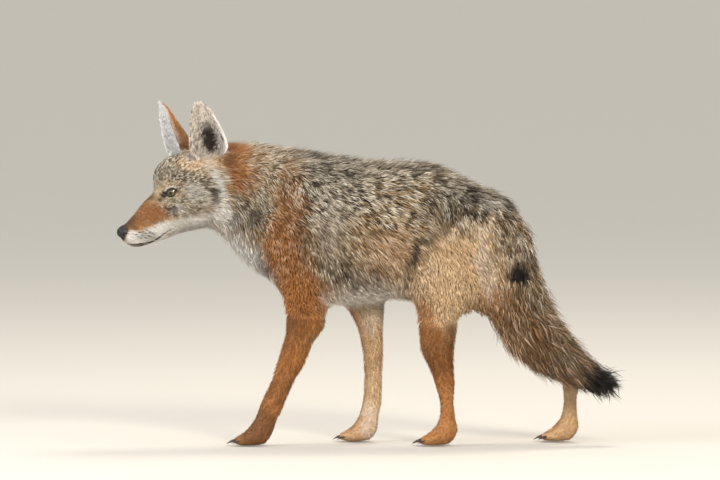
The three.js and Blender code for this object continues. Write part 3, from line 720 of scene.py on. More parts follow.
# Markings: soft patches that skin and coat share
# On the body: place along and up as shares of the model's box, reach along and up in mm, strength
bodyMarks = {
    "rufous": [
        (0.355, 0.767, 21, 30, 0.55), (0.351, 0.694, 26, 33, 0.75), (0.338, 0.607, 34, 36, 0.85),
        (0.342, 0.529, 33, 36, 0.95), (0.369, 0.448, 39, 39, 1), (0.369, 0.367, 42, 36, 1),
        (0.344, 0.274, 42, 48, 1), (0.312, 0.159, 42, 51, 1), (0.284, 0.043, 51, 45, 0.9),
        (0.482, 0.367, 18, 33, 0.8), (0.496, 0.269, 14, 54, 0.8), (0.536, 0.269, 12, 36, 0.6),
        (0.484, 0.130, 16, 50, 0.7), (0.486, 0.037, 51, 30, 0.8), (0.619, 0.367, 18, 33, 0.7),
        (0.627, 0.298, 30, 33, 0.9), (0.651, 0.222, 39, 39, 1), (0.664, 0.130, 39, 51, 0.95),
        (0.643, 0.028, 51, 30, 0.85), (0.914, 0.144, 39, 60, 0.5), (0.530, 0.555, 50, 36, 0.3),
        (0.429, 0.600, 30, 30, 0.2), (0.894, 0.037, 51, 30, 0.85), (0.773, 0.352, 36, 66, 0.6),
        (0.840, 0.300, 30, 45, 0.5), (0.239, 0.858, 21, 28, 1), (0.239, 0.790, 18, 30, 0.95),
        (0.266, 0.765, 20, 24, 0.55), (0.278, 0.825, 20, 20, 0.35), (0.712, 0.332, 21, 33, 0.6),
    ],
    "deep": [
        # 0.312, 0.150 and 0.275, 0.060: the lower forelegs darker towards the foot, a darker brown with painted
        #                                shade
        (0.369, 0.361, 14, 21, 0.6), (0.809, 0.593, 18, 26, 0.8), (0.312, 0.150, 40, 30, 0.4),
        (0.490, 0.490, 40, 24, 0.35), (0.275, 0.060, 40, 36, 0.8), (0.338, 0.318, 21, 30, 0.5),
        (0.643, 0.260, 21, 33, 0.5), (0.770, 0.612, 10, 34, 0.5), (0.688, 0.274, 24, 45, 0.7),
        (0.223, 0.854, 9, 33, 0.8), (0.231, 0.778, 9, 24, 0.5),
    ],
    "grey": [
        (0.300, 0.865, 54, 20, 0.8), (0.300, 0.790, 40, 30, 0.3), (0.165, 0.880, 24, 30, 0.7),
        (0.268, 0.709, 36, 39, 0.7), (0.429, 0.767, 75, 51, 0.9), (0.425, 0.645, 33, 60, 0.65),
        (0.571, 0.790, 75, 24, 0.8), (0.712, 0.738, 69, 39, 0.8), (0.450, 0.506, 39, 39, 0.6),
        (0.243, 0.674, 21, 18, 0.8),
    ],
    "sandy": [
        (0.672, 0.593, 48, 30, 0.8), (0.672, 0.492, 57, 48, 1), (0.651, 0.405, 42, 33, 0.85),
        (0.470, 0.435, 50, 22, 1), (0.920, 0.115, 24, 50, 0.6), (0.514, 0.289, 24, 84, 0.8),
        (0.510, 0.130, 30, 60, 0.8), (0.571, 0.578, 39, 30, 0.35), (0.540, 0.506, 45, 39, 0.5),
        (0.752, 0.448, 16, 50, 0.7), (0.737, 0.525, 30, 60, 1), (0.419, 0.419, 18, 33, 0.5),
    ],
    "pale": [
        (0.198, 0.781, 7, 14, 0.8), (0.208, 0.737, 7, 28, 1), (0.214, 0.684, 9, 22, 0.9),
        (0.211, 0.616, 24, 15, 1), (0.239, 0.584, 28, 26, 1), (0.268, 0.552, 28, 24, 1),
        (0.292, 0.523, 14, 15, 0.8), (0.470, 0.430, 45, 20, 0.65), (0.530, 0.430, 30, 20, 0.8),
        (0.750, 0.489, 9, 36, 0.3), (0.758, 0.692, 14, 7, 0.6), (0.514, 0.367, 15, 30, 0.3),
        (0.733, 0.540, 10, 42, 0.35), (0.429, 0.636, 24, 45, 0.2), (0.510, 0.057, 15, 30, 0.3),
    ],
    "dark": [
        (0.806, 0.500, 17, 16, 1), (0.700, 0.705, 60, 26, 0.3), (0.372, 0.600, 12, 40, 0.35),
        (0.975, 0.190, 34, 36, 1), (0.930, 0.240, 42, 36, 0.5), (0.894, 0.289, 51, 51, 0.45),
        # from 0.590, 0.510 to 0.682, 0.643: painted shade in the fold between flank and thigh
        (0.833, 0.390, 39, 51, 0.4), (0.821, 0.529, 14, 12, 0.6), (0.590, 0.510, 6, 18, 0.5),
        (0.595, 0.545, 7, 12, 0.75), (0.603, 0.573, 8, 9, 0.75), (0.616, 0.594, 10, 9, 0.65),
        (0.632, 0.609, 11, 9, 0.55), (0.648, 0.620, 11, 9, 0.5), (0.664, 0.631, 11, 9, 0.45),
        (0.682, 0.643, 11, 9, 0.4), (0.710, 0.714, 18, 14, 0.65), (0.797, 0.705, 24, 22, 0.8),
        (0.785, 0.660, 12, 12, 0.5), (0.831, 0.640, 12, 26, 0.8), (0.770, 0.780, 34, 14, 0.55),
        (0.846, 0.470, 16, 14, 0.5), (0.868, 0.420, 12, 48, 0.4), (0.640, 0.665, 38, 22, 0.3),
        # 0.294, 0.550 and 0.308, 0.512: painted shade in the fold between chest and near shoulder
        (0.294, 0.550, 6, 18, 0.5), (0.308, 0.512, 8, 10, 0.5), (0.243, 0.677, 12, 10, 0.4),
        # 0.275, 0.055: the lower forelegs darker towards the foot, a darker brown with painted shade
        (0.287, 0.668, 17, 14, 0.55), (0.275, 0.055, 40, 30, 0.2), (0.490, 0.810, 90, 14, 0.3),
        (0.651, 0.801, 75, 14, 0.4), (0.429, 0.790, 60, 18, 0.3), (0.500, 0.500, 36, 18, 0.25),
        (0.730, 0.760, 40, 12, 0.3),
    ],
    "grizzle": [
        (0.325, 0.810, 62, 45, 0.9), (0.165, 0.860, 24, 40, 0.7), (0.272, 0.720, 36, 42, 0.5),
        (0.429, 0.743, 96, 69, 1), (0.571, 0.723, 96, 63, 1), (0.712, 0.709, 78, 54, 1),
        (0.797, 0.616, 39, 60, 0.9), (0.460, 0.578, 66, 84, 0.75), (0.278, 0.665, 51, 51, 0.8),
        (0.571, 0.564, 60, 69, 0.5), (0.833, 0.419, 60, 90, 0.55), (0.934, 0.246, 60, 60, 0.5),
        (0.349, 0.709, 36, 60, 0.7), (0.340, 0.578, 39, 45, 0.45),
    ],
}
# On the head, in its own frame: along and up, reach along and up, all in mm, and strength
headMarks = {
    "rufous": [
        (35, -32, 19, 14, 1), (48, -44, 13, 11, 0.75), (19, -24, 9, 10, 0.4),
    ],
    "deep": [
        (40, -35, 26, 18, 0.7), (33, -22, 16, 7, 0.5), (62, -42, 11, 9, 0.6), (61, -53, 10, 6, 0.7),
        (-4, 14, 20, 9, 0.3), (12, -25, 12, 6, 0.5),
    ],
    "pale": [
        (52, -70, 20, 10, 1), (30, -63, 20, 10, 1), (14, -72, 18, 9, 0.9), (60, -64, 9, 6, 0.9),
        (13, -53, 16, 10, 1), (39, -84, 22, 3, 0.3), (-9, -50, 22, 12, 0.9), (-31, -48, 23, 15, 0.9),
        (-49, -47, 19, 21, 0.9), (-23, -65, 34, 10, 0.85), (-57, 24, 7, 14, 0.9), (-62, 4, 7, 20, 1),
        (-61, -24, 9, 14, 0.9), (-50, 40, 12, 9, 0.4), (-60, -36, 14, 14, 0.9), (-42, -10, 8, 14, 0.4),
        (-25, -2, 14, 14, 0.5), (-5, -26, 12, 8, 0.35),
    ],
    "sandy": [
        (-26, 40, 23, 12, 0.75), (2, 14, 14, 8, 0.25), (19, 1, 11, 15, 0.3), (-47, 37, 16, 14, 0.7),
    ],
    "grey": [
        (58, -38, 14, 9, 0.6), (4, 38, 34, 30, 0.9), (-33, 7, 28, 27, 0.9), (4, -20, 24, 16, 0.95),
        (16, 16, 22, 30, 0.8), (-14, -22, 26, 22, 0.8),
    ],
    "dark": [
        (-6, 61, 12, 12, 0.75), (-55, -4, 8, 12, 0.6), (65, -44, 10, 8, 0.6), (-16, 4.5, 6, 1.6, 0.45),
        (12, -2.5, 3.2, 4.5, 1), (15.5, -7.5, 3.6, 3.8, 1), (19.5, -12, 3.4, 2.2, 0.8), (5, 4, 8, 2.2, 0.6),
        (8, -25, 9, 4, 0.5), (2, -28, 5, 2.5, 0.3), (34, -81, 27, 4, 0.7), (61, -42, 10, 7, 0.4),
        (61, -51, 8, 5, 0.3), (44, -65, 20, 8, 0.32), (-2, 22, 26, 16, 0.2), (15, 31, 5, 24, 0.25),
        (33, -84, 22, 2, 0.4),
    ],
    "grizzle": [
        (1, 31, 40, 39, 1), (-37, 4, 34, 39, 0.9), (2, -22, 26, 17, 0.85), (42, -34, 28, 18, 0.3),
        (16, 16, 20, 24, 0.7), (-33, -47, 34, 18, 0.35),
    ],
}
whiskerSpots = [(56, -63), (51, -60.5), (46, -58.5), (41, -56.5), (53, -66.5), (48, -64.5),
                (42.5, -62.5), (37, -60), (49, -69.5), (43, -68), (37, -66), (31.5, -63)]


def patches(across, up, rows):
    total = np.zeros(len(across))
    for cx, cz, rx, rz, strength in rows:
        away = np.sqrt(((across - cx) / rx) ** 2 + ((up - cz) / rz) ** 2)
        total = np.maximum(total, strength * smoothStep(1.35, 0.55, away))
    return total


def wavering(points):
    # Patches get an uneven edge, from a few slow waves in three directions
    p = points / mm
    waves = enumerate([(0.11, 0.19, 0.14), (0.17, 0.08, 0.21), (0.09, 0.23, 0.12)])
    return np.stack([np.sin(p @ np.array(k) + i) + 0.6 * np.sin(p @ np.array(k[::-1]) * 2.3 + 2 * i)
                     for i, k in waves], axis=1)


def earMarks(points, normals, marks):
    for name, ear in ears.items():
        here = nearEar(points, name)
        if not here.any():
            continue
        tall, across, inner = onEar(points[here], normals[here], name)
        rim = np.maximum(smoothStep(0.72, 0.9, np.abs(across)), smoothStep(0.9, 0.97, tall))
        rim *= smoothStep(0.0, 0.12, tall)
        back = np.where(inner, 0, 1) * smoothStep(-0.02, 0.1, tall)
        wide = 0.4 - 0.5 * np.abs(tall - 0.38)
        # tufts keep or lose the dark by chance at the edge of the hollow
        ragged = np.modf(np.abs(np.sin(points[here] @ np.array([129, 782, 377]) * 97)) * 437.5)[0]
        # the hollow: dark bare skin where the hair is thin, with painted shade deep in the cup
        hollow = smoothStep(0.18, -0.12, np.abs(across - ear["hollow"]) - wide + 0.3 * (ragged - 0.4))
        hollow = hollow * smoothStep(0.04, 0.14, tall) * smoothStep(0.74, 0.44, tall)
        # the pouch: painted shade in the skin pocket at the edge of the ear
        pouch = np.exp(-((across - 0.82) / 0.09) ** 2 - ((tall - 0.33) / 0.07) ** 2)
        blend = smoothStep(-0.02, 0.08, tall)
        # inside, pale and grizzle follow shade: painted shade on the ear that lies in shadow
        wanted = {
            "rufous": back * 0.85,
            "deep": back * smoothStep(0.35, 0.0, tall) * 0.4,
            "pale": np.maximum(rim * 0.9, np.where(inner, 1 - 0.5 * ear["shade"], 0)),
            "grey": np.where(inner, 0.0, 0.1),
            "sandy": 0.2 * back,
            "dark": np.where(inner, np.maximum(hollow, pouch * ear["pouch"]), 0),
            "grizzle": np.where(inner, ear["shade"], 0.2),
        }
        for mark, value in wanted.items():
            marks[mark][here] = marks[mark][here] * (1 - blend) + value * blend


def markings(points, normals):
    waver = wavering(points)
    share = (points - lowCorner) / wholeSize
    wide, high = wholeSize[0] / mm, wholeSize[2] / mm
    x, z = share[:, 0] * wholeSize[0] / mm + waver[:, 0] * 3, share[:, 2] * wholeSize[2] / mm + waver[:, 1] * 3
    head = inHead(points)
    along, up = head[:, 0] + waver[:, 2] * 0.8, head[:, 2] + waver[:, 1] * 0.8
    onHead = smoothStep(-72, -64, along) * smoothStep(-104, -92, up)
    marks = {}

    def atLeast(mark, value):
        marks[mark] = np.maximum(marks[mark], value)

    for name, rows in bodyMarks.items():
        body = patches(x, z, [(cx * wide, cz * high, rx, rz, s) for cx, cz, rx, rz, s in rows])
        marks[name] = body * (1 - onHead) + patches(along, up, headMarks.get(name, [])) * onHead
    # pale hair has no black tips
    marks["grizzle"] *= (1 - 0.8 * marks["pale"]) * (1 - 0.5 * marks["rufous"])
    # legs are paler inside, and the belly underneath
    inside = smoothStep(0.1, 0.7, -normals[:, 1] * np.sign(points[:, 1])) * smoothStep(0.5, 0.4, share[:, 2])
    nape = smoothStep(18, 6, np.abs(points[:, 1]) / mm) * smoothStep(0.75, 0.8, share[:, 2]) * (1 - onHead)
    marks["rufous"] *= (1 - 0.55 * inside) * (1 - 0.75 * nape)
    # the head is turned, so its far side leaves more of the neck in sight
    farNeck = smoothStep(-5, 12, points[:, 1] / mm) * smoothStep(0.24, 0.222, share[:, 0]) * (1 - onHead)
    farNeck *= smoothStep(0.6, 0.66, share[:, 2])
    for name, value in {"pale": 0.0, "rufous": 0.1, "grey": 0.7, "grizzle": 0.8}.items():
        marks[name] = marks[name] * (1 - farNeck) + value * farNeck
    # a darker ridge along the top of the muzzle
    ridge = smoothStep(0.5, 0.9, normals[:, 2]) * smoothStep(0, 22, along) * onHead
    atLeast("deep", 0.8 * ridge)
    atLeast("dark", 0.3 * ridge)
    atLeast("sandy", 0.7 * inside)
    under = smoothStep(-0.3, -0.8, normals[:, 2]) * smoothStep(0.36, 0.42, share[:, 2]) * (1 - onHead)
    atLeast("pale", 0.75 * under * smoothStep(0.65, 0.5, share[:, 0]))
    spine = smoothStep(0.55, 0.9, normals[:, 2]) * smoothStep(0.78, 0.84, share[:, 2])
    atLeast("dark", 0.7 * spine * smoothStep(0.3, 0.4, share[:, 0]) * (1 - onHead))
    # lids: a pale line over the eye, and bare dark skin at the edge
    beyond, above = onLids(points)
    atLeast("pale", 0.55 * smoothStep(0.5, 0, np.abs(beyond - 4.6) / 4) * (above > 1.5))
    marks["bare"] = smoothStep(1.2, 0.6, beyond)
    atLeast("dark", smoothStep(2.4, 1.2, beyond - 1.1 * (above > 1.5)))
    # and round the nose
    nose = np.linalg.norm(points - np.array(middle("nose")), axis=1) / mm
    atLeast("bare", smoothStep(12.5, 11, nose))
    atLeast("dark", 0.7 * smoothStep(14, 12, nose))
    for a, b in whiskerSpots:
        away = np.hypot(head[:, 0] - a, head[:, 2] - b)
        atLeast("dark", 0.75 * smoothStep(1.9, 0.9, away))
    earMarks(points, normals, marks)
    return marks


# Fur
furColours = {
    "tawny": "#b19166", "grey": "#948a74", "sandy": "#edcca3", "rufous": "#b3773f", "deep": "#7d5029",
    "pale": "#efede8", "dark": "#1e1814", "band": "#e3dccc", "tip": "#241d18", "bare": "#2a211d",
}
hairGrain = 0.7  # mm, between the hairs that the bump draws
# Where a grizzled tuft turns light or black: by chance, and along its length
grizzleStops = {
    "band": {"chance": ((0.52, 0.0), (0.66, 1.0)),
             "along": ((0.15, 0.15), (0.4, 0.9), (0.85, 0.9), (1.0, 0.6))},
    "tip": {"chance": ((0.3, 1.0), (0.46, 0.0)), "along": ((0.2, 0.35), (0.6, 1.0))},
}
# chance: tone that differs from tuft to tuft; along: darker roots, the greyer underfur with painted shade among
# the hairs
shadeStops = {"chance": ((0.0, 0.62), (1.0, 1.0)), "along": ((0.0, 0.5), (0.45, 1.0))}


def furMaterial(name, roughness, bumpy=False):
    # Guard hair, keratin with a satin surface: a root darkened by underfur and painted shade, pale bands, black
    # tips where it is grizzled
    material, tree, shader = newMaterial(name, Roughness=roughness, IOR=1.55, Specular_IOR_Level=0.3)
    read = {n: addNode(tree, "Attribute", out="Fac", attribute_name=n)
            for n in ("along", "chance", "grizzle", "grey", "sandy", "rufous", "deep", "pale", "dark", "bare")}
    layers = [(mark, read[mark]) for mark in ("grey", "sandy", "rufous", "deep", "pale")]
    for mark, stops in grizzleStops.items():
        byChance, byLength = (addNode(tree, "ValToRGB", {"Fac": read[n]}, stops[n])
                              for n in ("chance", "along"))
        both = addNode(tree, "Math", {0: byChance, 1: byLength}, operation="MULTIPLY")
        layers.append((mark, addNode(tree, "Math", {0: both, 1: read["grizzle"]}, operation="MULTIPLY")))
    layers += [(mark, read[mark]) for mark in ("dark", "bare")]
    colour = linear(furColours["tawny"])
    for mark, amount in layers:
        tint = linear(furColours[mark])
        colour = addNode(tree, "Mix", {0: amount, 6: colour, 7: tint}, out=2, data_type="RGBA")
    # every tuft a little lighter or darker than its neighbour, and darker at the root: the greyer underfur, and
    # painted shade among the hairs
    for n, stops in shadeStops.items():
        shade = addNode(tree, "ValToRGB", {"Fac": read[n]}, stops)
        colour = addNode(tree, "Mix", {0: 1.0, 6: colour, 7: shade}, out=2, data_type="RGBA",
                         blend_type="MULTIPLY")
    tree.links.new(colour, shader.inputs["Base Color"])
    if bumpy:
        place = addNode(tree, "TexCoord", out="Object")
        grain = addNode(tree, "TexNoise", {"Vector": place, "Scale": 1 / (hairGrain * mm), "Detail": 3.0},
                        out="Fac")
        bump = addNode(tree, "Bump", {"Height": grain, "Strength": 0.6, "Distance": 0.0005})
        tree.links.new(bump, shader.inputs["Normal"])
    return material


furs = {
    "body": furMaterial("guard_hair", 0.6),
    "face": furMaterial("short_face_hair", 0.65),
    "ear": furMaterial("ear_hair", 0.7),
    "leg": furMaterial("short_leg_hair", 0.65),
    "tail": furMaterial("long_tail_hair", 0.6),
}
underfur = furMaterial("underfur_on_skin", 0.8, bumpy=True)

skinPoints, skinNormals = getVectors(skinMesh, "co"), getVectors(skinMesh, "normal")
for markName, markValues in markings(skinPoints, skinNormals).items():
    setFloats(skinMesh, markName, markValues)
setFloats(skinMesh, "chance", np.full(len(skinPoints), 0.5))
# the skin takes the darkening of the roots: the grey underfur, and painted shade under the coat
setFloats(skinMesh, "along", np.full(len(skinPoints), 0.3))
skin = newPiece("skin", skinMesh, underfur)
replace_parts(skin, *flesh)

# Coat: how each part of it grows, lengths as multiples of the coat's depth, the rest in mm
coatPieces = {
    "coat_muzzle": dict(on=["head", "lower_jaw"], alongFrom=-4, count=23000, width=0.62, length=2.0, least=3.2,
                        deepest=2.4, fur="face"),
    "coat_head": dict(on=["head", "lower_jaw"], alongTo=-4, count=24000, width=0.95, length=1.9, least=4.5,
                      clump=4, fur="face"),
    "coat_ears": dict(on=["ear_left", "ear_right"], count=15000, width=0.8, length=2.4, least=4.8, fur="ear"),
}
longHair = dict(width=1.25, length=1.5, least=8, bent=True)
for part, solid, count, width in (("neck", "neck", 10000, 1.3), ("chest", "chest", 11500, 1.25),
                                  ("flank", "belly", 9000, 1.25)):
    for side, sign in (("left", -1), ("right", 1)):
        coatPieces[f"coat_{part}_{side}"] = {**longHair, "on": [solid], "side": sign, "count": count,
                                             "width": width}
upperHair = {**longHair, "width": 1.15, "least": 7, "short": False}
coatPieces |= {
    "coat_rump": {**longHair, "on": ["rump"], "count": 15000},
    "coat_tail": dict(on=["tail_root", "tail_middle", "tail_tip"], count=15000, width=1.7, length=2.0, least=8,
                      bent=True, fur="tail", lift=(0.72, 0.42)),
    "coat_shoulders": {**upperHair, "on": ["front_left_upper", "front_right_upper"], "count": 9000},
    "coat_thighs": {**upperHair, "on": ["hind_left_upper", "hind_right_upper"], "count": 13000},
    "coat_legs": dict(on=[f"{leg}_{part}" for leg in legs for part in ("upper", "lower", "foot")], count=25000,
                      width=0.95, length=2.2, least=4, fur="leg", short=True),
}
coatMake = {
    "clump": 9,  # tufts that lean together
    "pull": 0.38,
    "lift": (0.72, 0.30),  # least height of a tip as a share of the coat's depth, and what chance adds
    "stray": 0.1,  # share of hairs that stand proud
    "strayLift": 1.6,
    "spread": 0.24,  # radians
    "patch": 0.003,  # size of a tuft on the bake map
    "deepest": 24,  # mm of the coat's depth that a tuft follows
}


def triangleArrays(mesh):
    mesh.calc_loop_triangles()
    corners = np.empty(len(mesh.loop_triangles) * 3, dtype=np.int64)
    mesh.loop_triangles.foreach_get("vertices", corners)
    return corners.reshape(-1, 3)


skinTriangles = triangleArrays(skinMesh)
skinTree = BVHTree.FromPolygons([tuple(p) for p in skinPoints], skinTriangles.tolist())
faceOwner = getFloats(skinMesh, "owner").astype(int)[skinTriangles[:, 0]]
faceDepth = np.clip(getFloats(skinMesh, "depth")[skinTriangles], 0.3, coatMake["deepest"]).mean(axis=1)
faceMiddle = skinPoints[skinTriangles].mean(axis=1)
print("ready for the coat:", len(skinTriangles), "triangles of skin")


def baldness():
    # 1 where nothing grows: in the lids' opening, on the lips, under the nose and on the soles
    normals = skinNormals[skinTriangles].mean(axis=1)
    bald = smoothStep(1.2, 0.7, onLids(faceMiddle)[0])
    head = inHead(faceMiddle)
    for i in np.nonzero((head[:, 0] > -5) & (head[:, 2] < -45))[0]:
        gap = mouthTree.find(faceMiddle[i])[2] / mm
        bald[i] = max(bald[i], 1 if gap < 1.3 else 0)
    nose = np.linalg.norm(faceMiddle - np.array(middle("nose")), axis=1) / mm
    bald = np.maximum(bald, np.where((faceOwner == len(flesh)) | (nose < 10.3), 1, 0))
    bald = np.maximum(bald, np.where((faceMiddle[:, 2] < 5 * mm) & (normals[:, 2] < -0.5), 1, 0))
    for name in ears:
        here = np.nonzero(nearEar(faceMiddle, name))[0]
        tall, across, inner = onEar(faceMiddle[here], normals[here], name)
        hollow = np.where(inner, 0.65, 0) * smoothStep(0.4, 0.25, np.abs(across - 0.08))
        hollow = hollow * smoothStep(0.65, 0.35, tall) * smoothStep(0.04, 0.14, tall)
        bald[here] = np.maximum(bald[here], hollow)
    return bald


faceBald = baldness()


def unwrapped(name, faces):
    # The skin's own shape unwrapped, for the places of the tufts on the bake map
    used, corners = np.unique(skinTriangles[faces], return_inverse=True)
    corners = corners.reshape(-1, 3)
    mesh = bpy.data.meshes.new("unwrap")
    mesh.from_pydata([tuple(p) for p in skinPoints[used]], [], corners.tolist())
    sheet = newObject("unwrap", mesh)
    bpy.context.view_layer.objects.active = sheet
    sheet.select_set(True)
    bpy.ops.object.mode_set(mode="EDIT")
    bpy.ops.mesh.select_all(action="SELECT")
    bpy.ops.uv.smart_project(angle_limit=math.radians(66), island_margin=0.008)
    bpy.ops.object.mode_set(mode="OBJECT")
    flat = np.empty(len(mesh.loops) * 2)
    mesh.uv_layers.active.data.foreach_get("uv", flat)
    bpy.data.objects.remove(sheet)
    return flat.reshape(-1, 3, 2)


def growTufts(name, make):
    rng = np.random.default_rng(sum(ord(c) for c in name))
    chosen = np.isin(faceOwner, [flesh.index(n) for n in make["on"]])
    along = inHead(faceMiddle)[:, 0]
    if "side" in make:
        chosen &= faceMiddle[:, 1] * make["side"] > 0
    chosen &= (along > make.get("alongFrom", -1e9)) & (along <= make.get("alongTo", 1e9))
    faces = np.nonzero(chosen)[0]
    corners = skinPoints[skinTriangles[faces]]
    sides = corners[:, 1] - corners[:, 0], corners[:, 2] - corners[:, 0]
    area = np.linalg.norm(np.cross(*sides), axis=1)
    area *= make["thick"](faces) if "thick" in make else 1 - faceBald[faces]
    if "short" in make:
        # the short coat of the legs takes over gradually from the longer coat above
        uppers = np.isin(faceOwner[faces], [flesh.index(f"{leg}_upper") for leg in legs])
        short = np.where(uppers, smoothStep(6.5, 4, faceDepth[faces]), 1)
        area *= short if make["short"] else 1 - short
    count = make["count"] // 1
    cuts = np.cumsum(area)
    picks = np.searchsorted(cuts, (np.arange(count) + rng.random(count)) / count * cuts[-1])
    picks = np.minimum(picks, len(faces) - 1)
    u, v = rng.random(count), rng.random(count)
    flip = u + v > 1
    u[flip], v[flip] = 1 - u[flip], 1 - v[flip]
    share = np.stack([u, v, 1 - u - v], axis=1)
    root = np.einsum("ij,ijk->ik", share, corners[picks])
    normal = unit(np.einsum("ij,ijk->ik", share, skinNormals[skinTriangles[faces[picks]]]))
    place = np.einsum("ij,ijk->ik", share, unwrapped(name, faces)[picks])
    depth = faceDepth[faces[picks]]
    clumpCount = max(50, count // make.get("clump", coatMake["clump"]))
    seeds = rng.choice(count, clumpCount, replace=False)
    clumps = KDTree(clumpCount)
    for i, s in enumerate(seeds):
        clumps.insert(root[s], i)
    clumps.balance()
    clump = np.array([clumps.find(p)[1] for p in root])
    chance = np.clip(0.55 * rng.random(clumpCount)[clump] + 0.45 * rng.random(count), 0, 1)
    return dict(rng=rng, count=count, root=root, normal=normal, place=place, depth=depth, seeds=seeds,
                clump=clump, chance=chance)


def onSkin(points, before):
    # The nearest skin to each point: its place, normal and face
    found = [skinTree.find_nearest(p) for p in points]
    place, normal = np.array([f[0] for f in found]), np.array([f[1] for f in found])
    # where the skin is thin, the nearest point may lie on its other side
    through = np.sum(normal * before, axis=1) < 0.1
    place[through], normal[through] = points[through], before[through]
    return place, normal, [f[2] for f in found]


def bend(make, grown):
    # Walks each tuft along the skin, so that it lies with the coat and its tip reaches the coat's outline
    rng, count, root, normal, depth = (grown[k] for k in ("rng", "count", "root", "normal", "depth"))
    depth = np.minimum(depth, make.get("deepest", coatMake["deepest"]))
    length = np.maximum(depth * make["length"], make["least"]) * (0.75 + 0.5 * rng.random(count)) * mm
    lie = make["lie"](root, normal) if "lie" in make else lieOfCoat(root, normal)
    turn = rng.normal(0, coatMake["spread"], count) + rng.normal(0, 0.1, len(grown["seeds"]))[grown["clump"]]
    lie = unit(lie + np.cross(lie, normal) * turn[:, None])
    half = root + lie * (length * 0.5)[:, None]
    halfSkin, halfNormal, _ = onSkin(half, normal)
    lieHalf = unit(lieOfCoat(halfSkin, halfNormal) * 0.6 + lie * 0.4)
    end = halfSkin + lieHalf * (length * 0.5)[:, None]
    endSkin, endNormal, endFaces = onSkin(end, halfNormal)
    endDepth = np.minimum(faceDepth[endFaces], depth * 1.6 + 1)
    # past the end of a limb or the tail the hair runs on
    slip = np.linalg.norm(endSkin - end, axis=1)
    least, more = make.get("lift", coatMake["lift"])
    lift = (least + more * rng.random(count)) * mm
    lift *= np.where(rng.random(count) < coatMake["stray"], coatMake["strayLift"], 1)
    tip = endSkin + endNormal * (endDepth * lift)[:, None]
    straight = end + halfNormal * (endDepth * lift * 0.6)[:, None]
    on = smoothStep(0.3, 0.6, slip / length)[:, None]
    tip = tip * (1 - on) + straight * on
    middles = halfSkin + halfNormal * (endDepth * lift * 0.62)[:, None]
    seed = grown["seeds"][grown["clump"]]
    pull = make.get("pull", coatMake["pull"])
    tip = tip * (1 - pull) + (tip[seed] + (root - root[seed]) * 0.4) * pull
    return lie, middles, halfNormal, unit(np.cross(lieHalf, halfNormal)), tip, half


bentShape = {
    "faces": [(0, 3, 4, 1), (1, 4, 5, 2), (2, 5, 3, 0), (3, 6, 4), (4, 6, 5), (5, 6, 3), (0, 1, 2)],
    "along": [0, 0, 0, 0.5, 0.5, 0.5, 1], "across": [-1, 0, 1, -1, 0, 1, 0],
}
straightShape = {
    "faces": [(0, 3, 1), (1, 3, 2), (2, 3, 0), (0, 1, 2)], "along": [0, 0, 0, 1], "across": [-1, 0, 1, 0],
}


def buildCoat(name, make):
    grown = growTufts(name, make)
    rng, count, root, normal = (grown[k] for k in ("rng", "count", "root", "normal"))
    lie, middles, halfNormal, halfSide, tip, half = bend(make, grown)
    width = make["width"] * (0.7 + 0.6 * rng.random(count)) * mm * 1
    w, side = width[:, None], np.cross(lie, normal)
    base = root - normal * ((0.4 + 0.03 * grown["depth"]) * mm)[:, None]
    rings = [base + side * w * 0.5, base + normal * w * 0.4, base - side * w * 0.5]
    shape = straightShape
    if make.get("bent"):
        shape = bentShape
        rings += [middles + halfSide * w * 0.42, middles + halfNormal * w * 0.35, middles - halfSide * w * 0.42]
    rings.append(tip)
    per = len(rings)
    points = np.stack(rings, axis=1).reshape(-1, 3)
    loops = np.array([i for face in shape["faces"] for i in face])
    sizes = np.array([len(face) for face in shape["faces"]])
    mesh = bpy.data.meshes.new(name)
    mesh.vertices.add(len(points))
    mesh.vertices.foreach_set("co", points.astype(np.float32).ravel())
    allLoops = (loops[None] + (np.arange(count) * per)[:, None]).ravel()
    mesh.loops.add(len(allLoops))
    mesh.loops.foreach_set("vertex_index", allLoops.astype(np.int32))
    mesh.polygons.add(count * len(sizes))
    starts = np.concatenate([[0], np.cumsum(np.tile(sizes, count))[:-1]])
    mesh.polygons.foreach_set("loop_start", starts.astype(np.int32))
    mesh.update(calc_edges=True)
    mesh.shade_smooth()
    setFloats(mesh, "along", np.tile(shape["along"], count))
    setFloats(mesh, "chance", np.repeat(grown["chance"], per))
    # a tuft takes the marking that its middle lies over, except where the marks are small
    marked = root if name in ("coat_muzzle", "coat_ears") else half
    for mark, values in markings(marked, normal).items():
        values = np.zeros(count) if mark == "bare" else values
        setFloats(mesh, mark, np.repeat(values, per))
    bake = mesh.uv_layers.new(name="OFBake")
    own = np.stack([np.array(shape["across"]) * 0.5, np.array(shape["along"]) - 0.5], axis=1)
    own = own * coatMake["patch"]
    flat = (grown["place"][:, None] + own[loops][None]).reshape(-1, 2)
    bake.data.foreach_set("uv", np.clip(flat, 0.0, 1.0).astype(np.float32).ravel())
    fur = make.get("fur", "body")
    newPiece(name, mesh, furs[fur])
    return count * (10 if make.get("bent") else 4)


# The long pale hair that grows from the front edge of each ear across the cup
def fringeLie(points, normals):
    way = np.zeros_like(points)
    for name, ear in ears.items():
        here = nearEar(points, name)
        inward = ear["across"] * -ear["fringe"]
        way[here] = ear["up"] * 0.85 + inward * 0.5 + ear["front"] * 0.25
    way -= normals * (np.sum(way * normals, axis=1) * 0.8)[:, None]
    return unit(way)


def fringeThick(faces):
    thick = np.zeros(len(faces))
    normals = skinNormals[skinTriangles[faces]].mean(axis=1)
    for name in ears:
        here = nearEar(faceMiddle[faces], name)
        tall, across, inner = onEar(faceMiddle[faces][here], normals[here], name)
        thick[here] = np.where(inner, 1, 0.0) * smoothStep(-0.25, -0.5, across) * smoothStep(0.9, 0.75, tall)
    return thick


